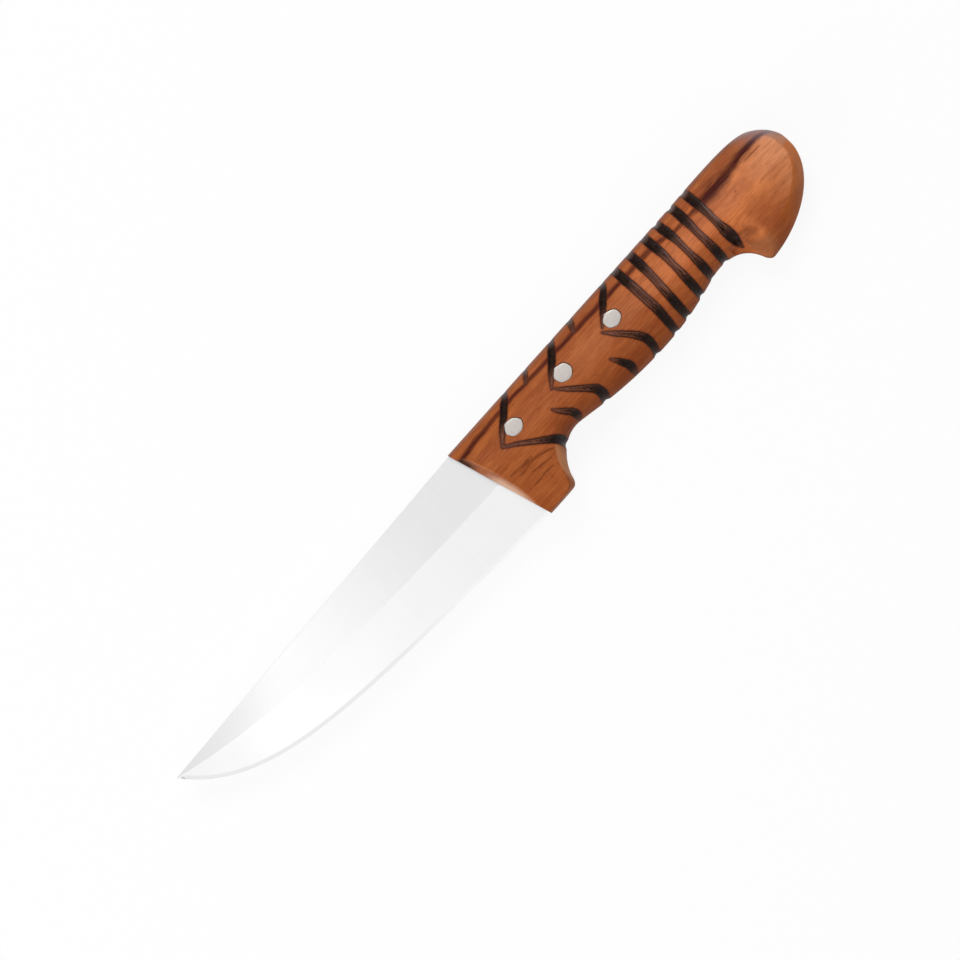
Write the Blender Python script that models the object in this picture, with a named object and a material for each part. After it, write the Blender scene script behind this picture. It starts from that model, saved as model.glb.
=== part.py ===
"""Butcher knife: a steel blade with a half tang in a carved one-piece wooden handle, held by three rivets.

The knife lies on its side.  +X runs from the tip to the butt, +Y from the cutting edge to the spine
and +Z is up.  Every size is in metres.  Before the last step the handle's front corner on the spine
is the origin; at the end one empty moves the whole knife so that it stands centred on the origin.
"""

import math

import bmesh
import bpy
from mathutils import Matrix, Vector
from mathutils.geometry import interpolate_bezier

MM = 0.001

# Blade
BLADE_LENGTH = 122.3 * MM            # handle's front corner on the spine to the tip
BLADE_THICKNESS = 2.4 * MM
HEEL_DEPTH = 33.15 * MM              # spine line to cutting edge at the handle
FLAT_DEPTH = 16.6 * MM               # spine line to grind line at the handle
SPINE_STEP = 0.42 * MM               # the blade's back lies this far under the wood
SPINE_FALL = math.radians(1.96)      # the back falls this much towards the tip
EDGE_RISE = math.radians(3.1)        # the edge rises this much where it leaves the handle
EDGE_REACH = 62.0 * MM               # how long the edge keeps that direction
BELLY_REACH = 31.0 * MM              # fullness of the curved edge behind the tip
TIP_ANGLE = math.radians(56.5)       # edge against the knife's length at the tip
GRIND_RISE = math.radians(0.4)
GRIND_REACH = 60.0 * MM
GRIND_TIP_REACH = 30.0 * MM
GRIND_TIP_ANGLE = math.radians(17.0)
SHOULDER_THICKNESS = 0.55 * MM       # steel left behind the edge bevel
EDGE_BEVEL = 0.8 * MM                # width of the edge bevel
EDGE_THICKNESS = 0.08 * MM
TIP_THICKNESS = 0.9 * MM
TIP_THINNING_STARTS = 0.82           # share of the blade's length
BLADE_END = 0.997                    # share of the curves at which the tip is cut blunt

# Tang
TANG_LENGTH = 87.5 * MM
TANG_DEPTH = 17.2 * MM
TANG_THICKNESS = 2.2 * MM
TANG_SINK = 0.1 * MM                 # the tang's back lies this far under the handle's spine
TANG_RISE_LENGTH = 8.0 * MM          # the back climbs from blade to handle over this length
TANG_END_TAPER = 1.8 * MM
TANG_CORNER = 3.0 * MM
TANG_OVERLAP = 2.0 * MM              # how far the tang's plate reaches into the blade

# Handle: along the knife, from the front corner or from the butt
HANDLE_LENGTH = 134.4 * MM
HANDLE_THICKNESS = 18.0 * MM
FRONT_SLANT = math.radians(13.3)
GUARD_DEPTH = 33.6 * MM
GUARD_REAR = 19.9 * MM
GUARD_RISE = 0.25 * MM
GUARD_CORNER = 2.7 * MM
FRONT_GRIP_X = 31.6 * MM
FRONT_GRIP_DEPTH = 21.55 * MM
SWELL_X = 66.0 * MM
SWELL_DEPTH = 25.4 * MM
REAR_GRIP_FROM_BUTT = 40.9 * MM
REAR_GRIP_DEPTH = 21.85 * MM
BEAK_FROM_BUTT = 27.9 * MM
BEAK_DEPTH = 31.45 * MM
BEAK_FLANK_RUN = 2.0 * MM
BEAK_FLANK_RISE = 2.2 * MM
BUTT_DROP = 10.75 * MM
SPINE_TOP_FROM_BUTT = 24.4 * MM
SPINE_RISE = 0.97 * MM

# Handle: its section
SPINE_BAND = 3.0 * MM                # rounding between the flat side and the spine
GUARD_BAND = 0.9 * MM
FLANK_BAND = 4.6 * MM
FRONT_GRIP_BAND = 9.0 * MM
SWELL_BAND = 10.4 * MM
REAR_GRIP_BAND = 8.9 * MM
BEAK_BAND = 8.0 * MM                 # the carved slope beside the beak
BUTT_BAND = 2.8 * MM                 # the carved slope round the butt
GUARD_KNEE_DROP = 17.0 * MM          # the guard gets thinner below this line
GUARD_EDGE_THICKNESS = 13.2 * MM
FRONT_CHAMFER = 2.6 * MM

# Rivets
RIVET_DIAMETER = 5.6 * MM
FIRST_RIVET_X = 19.0 * MM
RIVET_PITCH = 21.1 * MM
RIVET_DROP = 8.65 * MM
RIVET_SINK = 0.02 * MM               # the heads lie this far under the wood
RIVET_EDGE = 0.15 * MM

# Fits
FIT_GAP = 0.2 * MM                   # steel to wood, all round

# Carved grooves, as (place along X, drop below the spine, width, depth), all in millimetres.
# SPINE and BELLY stand for the middle of the handle's back and of its lower edge.
SPINE = 0.0
BELLY = 99.0
FRONT_ARROW = (
    (5.5, SPINE, 2.1, 0.5), (3.5, 1.4, 2.0, 0.6), (1.0, 3.4, 1.6, 0.55), (-1.5, 5.7, 1.3, 0.5),
    (-4.0, 7.4, 1.1, 0.4), (-6.7, 9.9, 0.7, 0.25), (-4.0, 12.9, 1.1, 0.4), (-1.0, 15.4, 1.4, 0.5),
    (2.0, 17.4, 1.8, 0.6), (5.0, 19.8, 2.4, 0.7), (7.0, 21.3, 2.6, 0.7), (6.5, BELLY, 2.2, 0.4))
REAR_ARROW = (
    (5.3, SPINE, 2.2, 0.5), (3.1, 1.8, 2.0, 0.6), (1.1, 3.6, 1.7, 0.55), (-1.5, 5.9, 1.2, 0.45),
    (-3.6, 7.9, 0.9, 0.35), (-5.2, 9.9, 0.7, 0.25), (-2.6, 13.0, 1.2, 0.45), (-0.2, 15.2, 1.6, 0.55),
    (1.6, 17.2, 2.0, 0.65), (2.9, 19.4, 2.6, 0.75), (3.2, 21.3, 2.7, 0.7), (2.3, BELLY, 2.2, 0.4))
SPINE_NICK = ((0.0, SPINE, 1.9, 0.55), (-1.0, 1.4, 1.5, 0.45), (-2.3, 2.8, 0.8, 0.2))
SPINE_NICK_PLACES = (33.3, 53.2)
LEAF_NICK = ((-3.3, 0.0, 0.7, 0.2), (-1.6, 2.4, 1.7, 0.6), (0.0, 4.6, 2.6, 0.75), (0.3, 7.2, 1.6, 0.3))
LEAF_NICK_PLACES = ((33.5, 14.0), (54.8, 16.8))
RING_DROPS = (SPINE, 4.0, 8.8, 16.8, 20.8, BELLY)
RING_WIDTHS = (2.6, 2.2, 1.7, 2.3, 2.6, 2.4)
RING_DEPTHS = (0.4, 0.6, 0.6, 0.7, 0.6, 0.45)
RINGS = (                            # centre line at each of the drops, from the first ring's place
    (0.0, 0.1, 0.2, -0.2, -0.5, -1.5), (6.3, 6.4, 6.3, 5.1, 4.9, 4.0), (13.0, 13.1, 13.0, 12.3, 12.0, 11.6),
    (18.2, 18.6, 18.8, 18.0, 17.9, 17.7), (24.4, 24.7, 24.7, 23.9, 23.7, 23.3))
LAST_RING = ((29.9, SPINE, 2.6, 0.4), (30.3, 4.0, 2.2, 0.6), (30.6, 9.0, 1.7, 0.6),
             (30.2, 16.8, 3.3, 0.85), (30.4, 20.8, 2.4, 0.6), (30.8, 23.4, 0.9, 0.15))
FIRST_RING_FROM_BUTT = 62.1 * MM
GOUGE_STEP = 0.05                    # share of the half section between two points of a gouge's path

# Values that follow from the sizes
SPINE_ARC, FLAT_SIDE = 0.25, 0.6     # shares of the half section: spine rounding, then flat side
FRONT_RUN = GUARD_DEPTH * math.tan(FRONT_SLANT)
SLANT_FADES_AT = FRONT_GRIP_X + 8.4 * MM
BEAK_X = HANDLE_LENGTH - BEAK_FROM_BUTT
REAR_GRIP_X = HANDLE_LENGTH - REAR_GRIP_FROM_BUTT
SPINE_TOP_X = HANDLE_LENGTH - SPINE_TOP_FROM_BUTT
FLAT_END_X = HANDLE_LENGTH - BUTT_BAND
RIVETS = [FIRST_RIVET_X + i * RIVET_PITCH for i in range(3)]
HALF = HANDLE_THICKNESS / 2
GUARD_HALF = GUARD_EDGE_THICKNESS / 2


def material(name, colour, roughness, metallic):
    """A Principled material with the piece's plain colour."""
    mat = bpy.data.materials.new(name)
    mat.use_nodes = True
    shader = mat.node_tree.nodes["Principled BSDF"]
    shader.inputs["Base Color"].default_value = (*colour, 1.0)
    shader.inputs["Roughness"].default_value = roughness
    shader.inputs["Metallic"].default_value = metallic
    return mat


def new_collection(name):
    coll = bpy.data.collections.new(name)
    bpy.context.scene.collection.children.link(coll)
    return coll


def bezier_chain(knots, steps=14):
    """Points of a curve through knots of (x, y, heading in degrees, reach back, reach ahead)."""
    points = []
    for a, b in zip(knots[:-1], knots[1:]):
        start, end = Vector((a[0], a[1])), Vector((b[0], b[1]))
        ahead = Vector((math.cos(math.radians(a[2])), math.sin(math.radians(a[2])))) * a[4]
        back = Vector((math.cos(math.radians(b[2])), math.sin(math.radians(b[2])))) * b[3]
        points += interpolate_bezier(start, start + ahead, end - back, end, steps)
    return points


def value_at(points, x):
    """Height of a curve at x; its points run towards +X."""
    if x <= points[0][0]:
        return points[0][1]
    for a, b in zip(points[:-1], points[1:]):
        if x <= b[0] and b[0] > a[0]:
            return a[1] + (b[1] - a[1]) * (x - a[0]) / (b[0] - a[0])
    return points[-1][1]


def loft(name, rings, mat, coll):
    """A closed body through rings of points, with a flat cap at each end."""
    bm = bmesh.new()
    loops = [[bm.verts.new(p) for p in ring] for ring in rings]
    count = len(loops[0])
    for a, b in zip(loops[:-1], loops[1:]):
        for i in range(count):
            j = (i + 1) % count
            bm.faces.new((a[i], a[j], b[j], b[i]))
    bm.faces.new(reversed(loops[0]))
    bm.faces.new(loops[-1])
    bmesh.ops.recalc_face_normals(bm, faces=bm.faces)
    bmesh.ops.triangulate(bm, faces=bm.faces)
    return from_bmesh(name, bm, mat, coll)


def from_bmesh(name, bm, mat, coll):
    mesh = bpy.data.meshes.new(name)
    bm.to_mesh(mesh)
    bm.free()
    mesh.materials.append(mat)
    obj = bpy.data.objects.new(name, mesh)
    coll.objects.link(obj)
    return obj


def plate(name, outline, thickness, mat, coll):
    """A flat outline in the XY plane, made thick to both sides."""
    bm = bmesh.new()
    face = bm.faces.new([bm.verts.new((p[0], p[1], -thickness / 2)) for p in outline])
    top = bmesh.ops.extrude_face_region(bm, geom=[face])["geom"]
    bmesh.ops.translate(bm, vec=(0, 0, thickness), verts=[g for g in top if isinstance(g, bmesh.types.BMVert)])
    bmesh.ops.recalc_face_normals(bm, faces=bm.faces)
    return from_bmesh(name, bm, mat, coll)


def pin(name, x, y, diameter, length, edge, mat, coll):
    """A round pin along Z, its two ends broken by a small bevel."""
    bm = bmesh.new()
    bmesh.ops.create_cone(bm, cap_ends=True, segments=32, radius1=diameter / 2, radius2=diameter / 2, depth=length)
    if edge:
        rims = [e for e in bm.edges if abs(e.verts[0].co.z - e.verts[1].co.z) < 0.1 * edge]
        bmesh.ops.bevel(bm, geom=rims, offset=edge, segments=2, profile=0.5, affect="EDGES")
    obj = from_bmesh(name, bm, mat, coll)
    obj.location = (x, y, 0)
    obj.data.shade_smooth()
    obj.data.set_sharp_from_angle(angle=math.radians(30))
    return obj


def as_cutter(obj):
    obj.hide_render = True
    obj.display_type = "WIRE"
    return obj


def cut(obj, tool, operation="DIFFERENCE"):
    """Cut one object, or every object of a collection, out of another."""
    mod = obj.modifiers.new(tool.name, "BOOLEAN")
    mod.operation = operation
    mod.solver = "EXACT"
    if isinstance(tool, bpy.types.Collection):
        mod.operand_type = "COLLECTION"
        mod.collection = tool
    else:
        mod.object = tool


# Handle outline
TOP = bezier_chain((
    (0.0, 0.0, 0.4, 0.0, 0.4 * SPINE_TOP_X),
    (SPINE_TOP_X, SPINE_RISE, 0.0, 0.3 * SPINE_TOP_X, 0.42 * SPINE_TOP_FROM_BUTT),
    (HANDLE_LENGTH, -BUTT_DROP, -90.0, 0.75 * BUTT_DROP, 0.0)), steps=24)
BOTTOM = bezier_chain((
    (FRONT_RUN, -GUARD_DEPTH, 1.5, 0.0, 3 * MM),
    (GUARD_REAR - GUARD_CORNER, -GUARD_DEPTH + GUARD_RISE, 3.0, 3 * MM, 0.5 * GUARD_CORNER),
    (GUARD_REAR, -GUARD_DEPTH + GUARD_RISE + GUARD_CORNER, 75.0, 0.5 * GUARD_CORNER, 3 * MM),
    (FRONT_GRIP_X, -FRONT_GRIP_DEPTH, 0.0, 7 * MM, 6 * MM),
    (SWELL_X, -SWELL_DEPTH, 0.0, 13 * MM, 10 * MM),
    (REAR_GRIP_X, -REAR_GRIP_DEPTH, 0.0, 6 * MM, 6 * MM),
    (BEAK_X - BEAK_FLANK_RUN, -BEAK_DEPTH + BEAK_FLANK_RISE, -72.0, 5 * MM, 1 * MM),
    (BEAK_X, -BEAK_DEPTH, 3.0, 0.8 * MM, 0.43 * BEAK_FROM_BUTT),
    (HANDLE_LENGTH, -BUTT_DROP, 90.0, 0.6 * (BEAK_DEPTH - BUTT_DROP), 0.0)))

# Limits of the flat side: towards the spine and towards the belly
FLAT_TOP = bezier_chain((
    (0.0, -SPINE_BAND, 0.4, 0.0, 0.4 * SPINE_TOP_X),
    (SPINE_TOP_X, SPINE_RISE - SPINE_BAND, 0.0, 0.3 * SPINE_TOP_X, 0.4 * SPINE_TOP_FROM_BUTT),
    (FLAT_END_X, -BUTT_DROP, -90.0, 0.5 * BUTT_DROP, 0.0)), steps=24)
FLAT_BOTTOM = [
    (FRONT_RUN, -GUARD_DEPTH + GUARD_BAND),
    (GUARD_REAR - GUARD_CORNER, -GUARD_DEPTH + GUARD_RISE + GUARD_BAND)]
for band_x, band in (
        (GUARD_REAR, FLANK_BAND), (GUARD_REAR + 1.5 * MM, FLANK_BAND),
        (0.6 * GUARD_REAR + 0.4 * FRONT_GRIP_X, 0.5 * FLANK_BAND + 0.3 * FRONT_GRIP_BAND),
        (FRONT_GRIP_X, 0.8 * FRONT_GRIP_BAND), (FRONT_GRIP_X + 9 * MM, FRONT_GRIP_BAND),
        (SWELL_X, SWELL_BAND), (REAR_GRIP_X, REAR_GRIP_BAND),
        (BEAK_X - BEAK_FLANK_RUN, BEAK_BAND)):
    FLAT_BOTTOM.append((band_x, value_at(BOTTOM, band_x) + band))
FLAT_BOTTOM += bezier_chain((
    (BEAK_X + BEAK_FLANK_RUN, -BEAK_DEPTH + 0.96 * BEAK_BAND, -5.0, 0.0, 4 * MM),
    (FLAT_END_X, -BUTT_DROP, 90.0, 8 * MM, 0.0)))

# How full the rounding towards the belly is: 2 is an ellipse, 1 a straight slope
FULLNESS = (
    (FRONT_RUN, 1.6), (GUARD_REAR, 1.4), (FRONT_GRIP_X, 2.0), (REAR_GRIP_X, 2.0),
    (BEAK_X - BEAK_FLANK_RUN, 1.5), (BEAK_X + BEAK_FLANK_RUN, 1.25), (HANDLE_LENGTH, 1.25))


def chord(station):
    """The section's line in plan, from the spine to the belly, for a station on the lower outline.

    The front sections lean like the front face and the lean fades out along the grip."""
    fade = min(1.0, max(0.0, (SLANT_FADES_AT - station) / (SLANT_FADES_AT - FRONT_RUN)))
    top_x = station - FRONT_RUN * fade ** 1.5
    return Vector((top_x, value_at(TOP, top_x))), Vector((station, value_at(BOTTOM, station)))


def quarter(share, full):
    """A quarter of a superellipse: how far along, how high, for a share from its outer end."""
    angle = share * math.pi / 2
    power = 2 / full
    return 1 - math.cos(angle) ** power, math.sin(angle) ** power


def section_point(station, share):
    """A point on the handle's upper side.  share runs from 0 at the spine to 1 at the belly."""
    top, bottom = chord(station)
    flat_top = min(top.y - 0.05 * MM, value_at(FLAT_TOP, max(top.x, 0.0)))
    flat_bottom = max(bottom.y + 0.05 * MM, value_at(FLAT_BOTTOM, station))
    middle = (flat_top + flat_bottom) / 2
    flat_top, flat_bottom = max(flat_top, middle), min(flat_bottom, middle)
    half = HALF
    if station > FLAT_END_X:
        beyond = (station - FLAT_END_X) / BUTT_BAND
        half = HALF * max(0.08, 1 - beyond) ** 0.7
        flat_top = flat_bottom = middle
    thinning = (station - GUARD_REAR) / (FRONT_GRIP_X - GUARD_REAR)
    low_half = half - (HALF - GUARD_HALF) * min(1.0, max(0.0, 1 - 2 * thinning))
    knee = max(-GUARD_KNEE_DROP, flat_bottom + 0.2 * (flat_top - flat_bottom))
    if share <= SPINE_ARC:
        along, up = quarter(share / SPINE_ARC, 2.0)
        y, z = top.y + (flat_top - top.y) * along, half * up
    elif share <= FLAT_SIDE:
        part = (share - SPINE_ARC) / (FLAT_SIDE - SPINE_ARC)
        if part < 0.5:
            y, z = flat_top + (knee - flat_top) * 2 * part, half
        else:
            y = knee + (flat_bottom - knee) * (2 * part - 1)
            z = half + (low_half - half) * (2 * part - 1)
    else:
        along, up = quarter((1 - share) / (1 - FLAT_SIDE), value_at(FULLNESS, station))
        y, z = bottom.y + (flat_bottom - bottom.y) * along, low_half * up
    down = (top.y - y) / (top.y - bottom.y)
    return Vector((top.x + (bottom.x - top.x) * down, y, z))


def find_section(x, drop):
    """The station and share whose point lies at x, at a drop below the spine."""
    station = x
    for _ in range(12):
        top, bottom = chord(station)
        down = min(1.0, drop / (top.y - bottom.y))
        station += x - (top.x + (bottom.x - top.x) * down)
    if drop <= 0:
        return station, 0.0
    if down >= 1:
        return station, 1.0
    low, high = 0.0, 1.0
    for _ in range(24):
        share = (low + high) / 2
        if top.y - section_point(station, share).y < drop:
            low = share
        else:
            high = share
    return station, share


def gouge_path(controls, start_x):
    """Points of (centre, radius) for a round gouge that follows the handle's upper side.

    The radius gives the groove its stated width where the gouge stands its stated depth in the wood."""
    places = [(*find_section(start_x + x * MM, drop * MM), width * MM, depth * MM)
              for x, drop, width, depth in controls]
    path = []
    for a, b in zip(places[:-1], places[1:]):
        steps = max(1, round(abs(b[1] - a[1]) / GOUGE_STEP))
        path += [[u + (v - u) * i / steps for u, v in zip(a, b)] for i in range(steps)]
    path.append(list(places[-1]))
    points = []
    for station, share, width, depth in path:
        here = section_point(station, share)
        inward, outward = max(0.0, share - 0.01), min(1.0, share + 0.01)
        across = section_point(station, outward) - section_point(station, inward)
        along = section_point(station + 0.2 * MM, share) - section_point(station - 0.2 * MM, share)
        normal = along.cross(across).normalized()
        if normal.z < 0 or (share in (0.0, 1.0) and normal.y * (0.5 - share) < 0):
            normal.negate()
        if share in (0.0, 1.0):
            normal.z = 0.0
            normal.normalize()
        radius = (width ** 2 / 4 + depth ** 2) / (2 * depth)
        points.append((here + normal * (radius - depth), radius))
    return points


def to_underside(points):
    return [(Vector((p.x, p.y, -p.z)), radius) for p, radius in points]


def gouge(name, points, closed, coll):
    """A round gouge as a curve with a bevel, made a mesh so that it can cut."""
    curve = bpy.data.curves.new(name, "CURVE")
    curve.dimensions = "3D"
    curve.bevel_depth = 1 * MM
    curve.bevel_resolution = 4
    curve.use_fill_caps = not closed
    spline = curve.splines.new("POLY")
    spline.points.add(len(points) - 1)
    for point, (place, radius) in zip(spline.points, points):
        point.co = (*place, 1.0)
        point.radius = radius / (1 * MM)
    spline.use_cyclic_u = closed
    tube = bpy.data.objects.new(name + "_curve", curve)
    coll.objects.link(tube)
    graph = bpy.context.evaluated_depsgraph_get()
    mesh = bpy.data.meshes.new_from_object(tube.evaluated_get(graph))
    bm = bmesh.new()
    bm.from_mesh(mesh)
    bmesh.ops.remove_doubles(bm, verts=bm.verts, dist=0.001 * MM)
    bmesh.ops.recalc_face_normals(bm, faces=bm.faces)
    bm.to_mesh(mesh)
    bm.free()
    solid = bpy.data.objects.new(name, mesh)
    solid.matrix_world = tube.matrix_world
    coll.objects.link(solid)
    bpy.data.objects.remove(tube)
    return as_cutter(solid)


def groove_all_round(name, controls, start_x, coll):
    """A groove that runs round the whole handle."""
    upper = gouge_path(controls, start_x)
    return gouge(name, upper + to_underside(upper)[-2:0:-1], True, coll)


def groove_over_spine(name, controls, start_x, coll):
    """A groove from one side over the spine to the other side."""
    upper = gouge_path(controls, start_x)
    return gouge(name, to_underside(upper)[:0:-1] + upper, False, coll)


def groove_on_each_side(name, controls, start_x, coll):
    upper = gouge_path(controls, start_x)
    gouge(name + "_upper", upper, False, coll)
    gouge(name + "_under", to_underside(upper), False, coll)


def carve_tools(coll):
    """All gouges of the handle's carving."""
    groove_all_round("front_arrow", FRONT_ARROW, RIVETS[0], coll)
    for i, rivet_x in enumerate(RIVETS[1:]):
        groove_all_round(f"rear_arrow_{i}", REAR_ARROW, rivet_x, coll)
    for i, x in enumerate(SPINE_NICK_PLACES):
        groove_over_spine(f"spine_nick_{i}", SPINE_NICK, x * MM, coll)
    for i, (x, drop) in enumerate(LEAF_NICK_PLACES):
        controls = [(dx, drop + dy, width, depth) for dx, dy, width, depth in LEAF_NICK]
        groove_on_each_side(f"leaf_nick_{i}", controls, x * MM, coll)
    first_ring = HANDLE_LENGTH - FIRST_RING_FROM_BUTT
    for i, line in enumerate(RINGS):
        controls = list(zip(line, RING_DROPS, RING_WIDTHS, RING_DEPTHS))
        groove_all_round(f"ring_{i}", controls, first_ring, coll)
    groove_over_spine("last_ring", LAST_RING, first_ring, coll)


def tang_outline(clearance, above):
    """The tang in plan.  A slot has clearance all round and stands open above the spine."""
    front = -TANG_OVERLAP - clearance
    end = TANG_LENGTH + clearance
    depth = TANG_DEPTH + clearance
    rear_depth = depth - TANG_END_TAPER
    top = []
    for i in range(13):
        x = end * i / 12
        climb = (SPINE_STEP - TANG_SINK) * max(0.0, 1 - x / TANG_RISE_LENGTH)
        top.append((x, value_at(TOP, x) - TANG_SINK - climb + above))
    top.insert(0, (front, -SPINE_STEP - TANG_SINK + above))
    corner = []
    for i in range(7):
        angle = math.radians(90 * i / 6)
        corner.append((end - TANG_CORNER * (1 - math.cos(angle)),
                       -rear_depth + TANG_CORNER * (1 - math.sin(angle))))
    return top + corner + [(front, -depth)]


def blade_curve(start, rise, reach, tip, tip_angle, tip_reach, share):
    """A point of a curve from the handle to the tip."""
    ahead = start + reach * Vector((-math.cos(rise), math.sin(rise)))
    back = tip + tip_reach * Vector((math.cos(tip_angle), -math.sin(tip_angle)))
    rest = 1 - share
    return (rest ** 3 * start + 3 * rest ** 2 * share * ahead
            + 3 * rest * share ** 2 * back + share ** 3 * tip)


def blade_ring(share):
    """The blade's section: flat, hollow-free grind, then the edge bevel, the same on both sides."""
    lean = math.tan(FRONT_SLANT)
    heel_spine = Vector((SPINE_STEP * lean - FIT_GAP, -SPINE_STEP))
    heel_grind = Vector((FLAT_DEPTH * lean - FIT_GAP, -FLAT_DEPTH))
    heel_edge = Vector((HEEL_DEPTH * lean - FIT_GAP, -HEEL_DEPTH))
    tip = Vector((-BLADE_LENGTH, -SPINE_STEP - BLADE_LENGTH * math.tan(SPINE_FALL)))
    spine = heel_spine.lerp(tip, share)
    grind = blade_curve(heel_grind, GRIND_RISE, GRIND_REACH, tip, GRIND_TIP_ANGLE, GRIND_TIP_REACH, share)
    edge = blade_curve(heel_edge, EDGE_RISE, EDGE_REACH, tip, TIP_ANGLE, BELLY_REACH, share)
    thinning = max(0.0, (share - TIP_THINNING_STARTS) / (1 - TIP_THINNING_STARTS))
    half = (BLADE_THICKNESS + (TIP_THICKNESS - BLADE_THICKNESS) * thinning) / 2
    bevel = edge.lerp(grind, min(0.45, EDGE_BEVEL / (edge - grind).length))
    corners = [(spine, half), (grind, half), (bevel, min(SHOULDER_THICKNESS / 2, 0.8 * half)),
               (edge, EDGE_THICKNESS / 2)]
    upper = [(p.x, p.y, z) for p, z in corners]
    lower = [(p.x, p.y, -z) for p, z in reversed(corners)]
    return upper + lower


def handle_rings():
    stops = (
        (FRONT_RUN, 4), (GUARD_REAR - GUARD_CORNER, 6), (GUARD_REAR, 5), (GUARD_REAR + 3 * MM, 6),
        (FRONT_GRIP_X, 8), (SWELL_X, 9), (REAR_GRIP_X, 6), (BEAK_X - BEAK_FLANK_RUN, 5), (BEAK_X, 3),
        (BEAK_X + BEAK_FLANK_RUN, 12), (FLAT_END_X, 5), (HANDLE_LENGTH - 0.08 * BUTT_BAND, 0))
    stations = []
    for (a, count), (b, _) in zip(stops[:-1], stops[1:]):
        stations += [a + (b - a) * i / count for i in range(count)]
    stations.append(stops[-1][0])
    shares = ([SPINE_ARC * i / 5 for i in range(5)]
              + [SPINE_ARC + (FLAT_SIDE - SPINE_ARC) * i / 4 for i in range(4)]
              + [FLAT_SIDE + (1 - FLAT_SIDE) * i / 8 for i in range(9)])
    rings = []
    for station in stations:
        upper = [section_point(station, share) for share in shares]
        under = [Vector((p.x, p.y, -p.z)) for p in upper[-2:0:-1]]
        rings.append(upper + under)
    return rings


def chamfer_tool(name, side, mat, coll):
    """A three-sided bar that takes the edge off the slanted front, on one side of the handle."""
    reach = 2 * FRONT_CHAMFER
    start = HALF - FRONT_CHAMFER
    profile = ((-reach, start - reach), (reach, start + reach), (-reach, start + reach))
    bm = bmesh.new()
    face = bm.faces.new([bm.verts.new((n, -1.3 * GUARD_DEPTH, side * z)) for n, z in profile])
    far = bmesh.ops.extrude_face_region(bm, geom=[face])["geom"]
    bmesh.ops.translate(bm, vec=(0, 1.6 * GUARD_DEPTH, 0), verts=[g for g in far if isinstance(g, bmesh.types.BMVert)])
    bmesh.ops.rotate(bm, cent=(0, 0, 0), matrix=Matrix.Rotation(FRONT_SLANT, 3, "Z"), verts=bm.verts)
    bmesh.ops.recalc_face_normals(bm, faces=bm.faces)
    return as_cutter(from_bmesh(name, bm, mat, coll))


def make_blade(parts, cutters):
    steel = material("polished_steel", (0.80, 0.80, 0.81), 0.28, 1.0)
    shares = [1 - (1 - i / 30) ** 1.4 for i in range(30)] + [BLADE_END]
    blade = loft("blade", [blade_ring(share) for share in shares], steel, parts)
    tang = as_cutter(plate("tang", tang_outline(0.0, 0.0), TANG_THICKNESS, steel, cutters))
    cut(blade, tang, "UNION")
    for i, x in enumerate(RIVETS):
        hole = pin(f"tang_hole_{i}", x, -RIVET_DROP, RIVET_DIAMETER + 2 * FIT_GAP, HANDLE_THICKNESS, 0, steel, cutters)
        cut(blade, as_cutter(hole))
    return blade


def make_handle(parts, cutters):
    wood = material("varnished_wood", (0.42, 0.16, 0.055), 0.38, 0.0)
    handle = loft("handle", handle_rings(), wood, parts)
    for side, name in ((1, "upper_chamfer"), (-1, "under_chamfer")):
        cut(handle, chamfer_tool(name, side, wood, cutters))
    gouges = new_collection("gouges")
    carve_tools(gouges)
    cut(handle, gouges)
    slot = plate("slot", tang_outline(FIT_GAP, 4 * SPINE_STEP), TANG_THICKNESS + 2 * FIT_GAP, wood, cutters)
    cut(handle, as_cutter(slot))
    for i, x in enumerate(RIVETS):
        length = 2 * HANDLE_THICKNESS
        hole = pin(f"rivet_hole_{i}", x, -RIVET_DROP, RIVET_DIAMETER + 2 * FIT_GAP, length, 0, wood, cutters)
        cut(handle, as_cutter(hole))
    return handle


def make_rivets(parts):
    length = HANDLE_THICKNESS - 2 * RIVET_SINK
    rivets = []
    for name, x in zip(("front_rivet", "middle_rivet", "rear_rivet"), RIVETS):
        metal = material(name + "_aluminium", (0.78, 0.77, 0.75), 0.42, 1.0)
        rivets.append(pin(name, x, -RIVET_DROP, RIVET_DIAMETER, length, RIVET_EDGE, metal, parts))
    return rivets


def main():
    for obj in list(bpy.data.objects):
        bpy.data.objects.remove(obj)
    parts = new_collection("butcher_knife")
    cutters = new_collection("cutters")
    pieces = [make_blade(parts, cutters), make_handle(parts, cutters)] + make_rivets(parts)

    low_y = min(p.y for p in BOTTOM)
    high_y = max(p.y for p in TOP)
    knife = bpy.data.objects.new("knife", None)
    parts.objects.link(knife)
    for obj in pieces + list(cutters.objects) + list(bpy.data.collections["gouges"].objects):
        obj.parent = knife
    tip_x = min(p[0] for p in blade_ring(BLADE_END))
    butt_x = HANDLE_LENGTH - 0.08 * BUTT_BAND
    knife.location = (-(tip_x + butt_x) / 2, -(low_y + high_y) / 2, HALF)
    bpy.context.view_layer.update()


main()
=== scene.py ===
# %% [markdown]
# # A butcher knife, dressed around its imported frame
# The frame gives five pieces at their real size: a steel blade with a half tang, a wooden handle and
# three rivets.  This lesson models each visible piece again with finer surfaces, gives it a finish made
# of shader nodes and photographs the knife from straight above, on a plain pale floor.

# %% Load the frame
import math

import bmesh
import bpy
import numpy as np
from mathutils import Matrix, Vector
from mathutils.kdtree import KDTree


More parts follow.
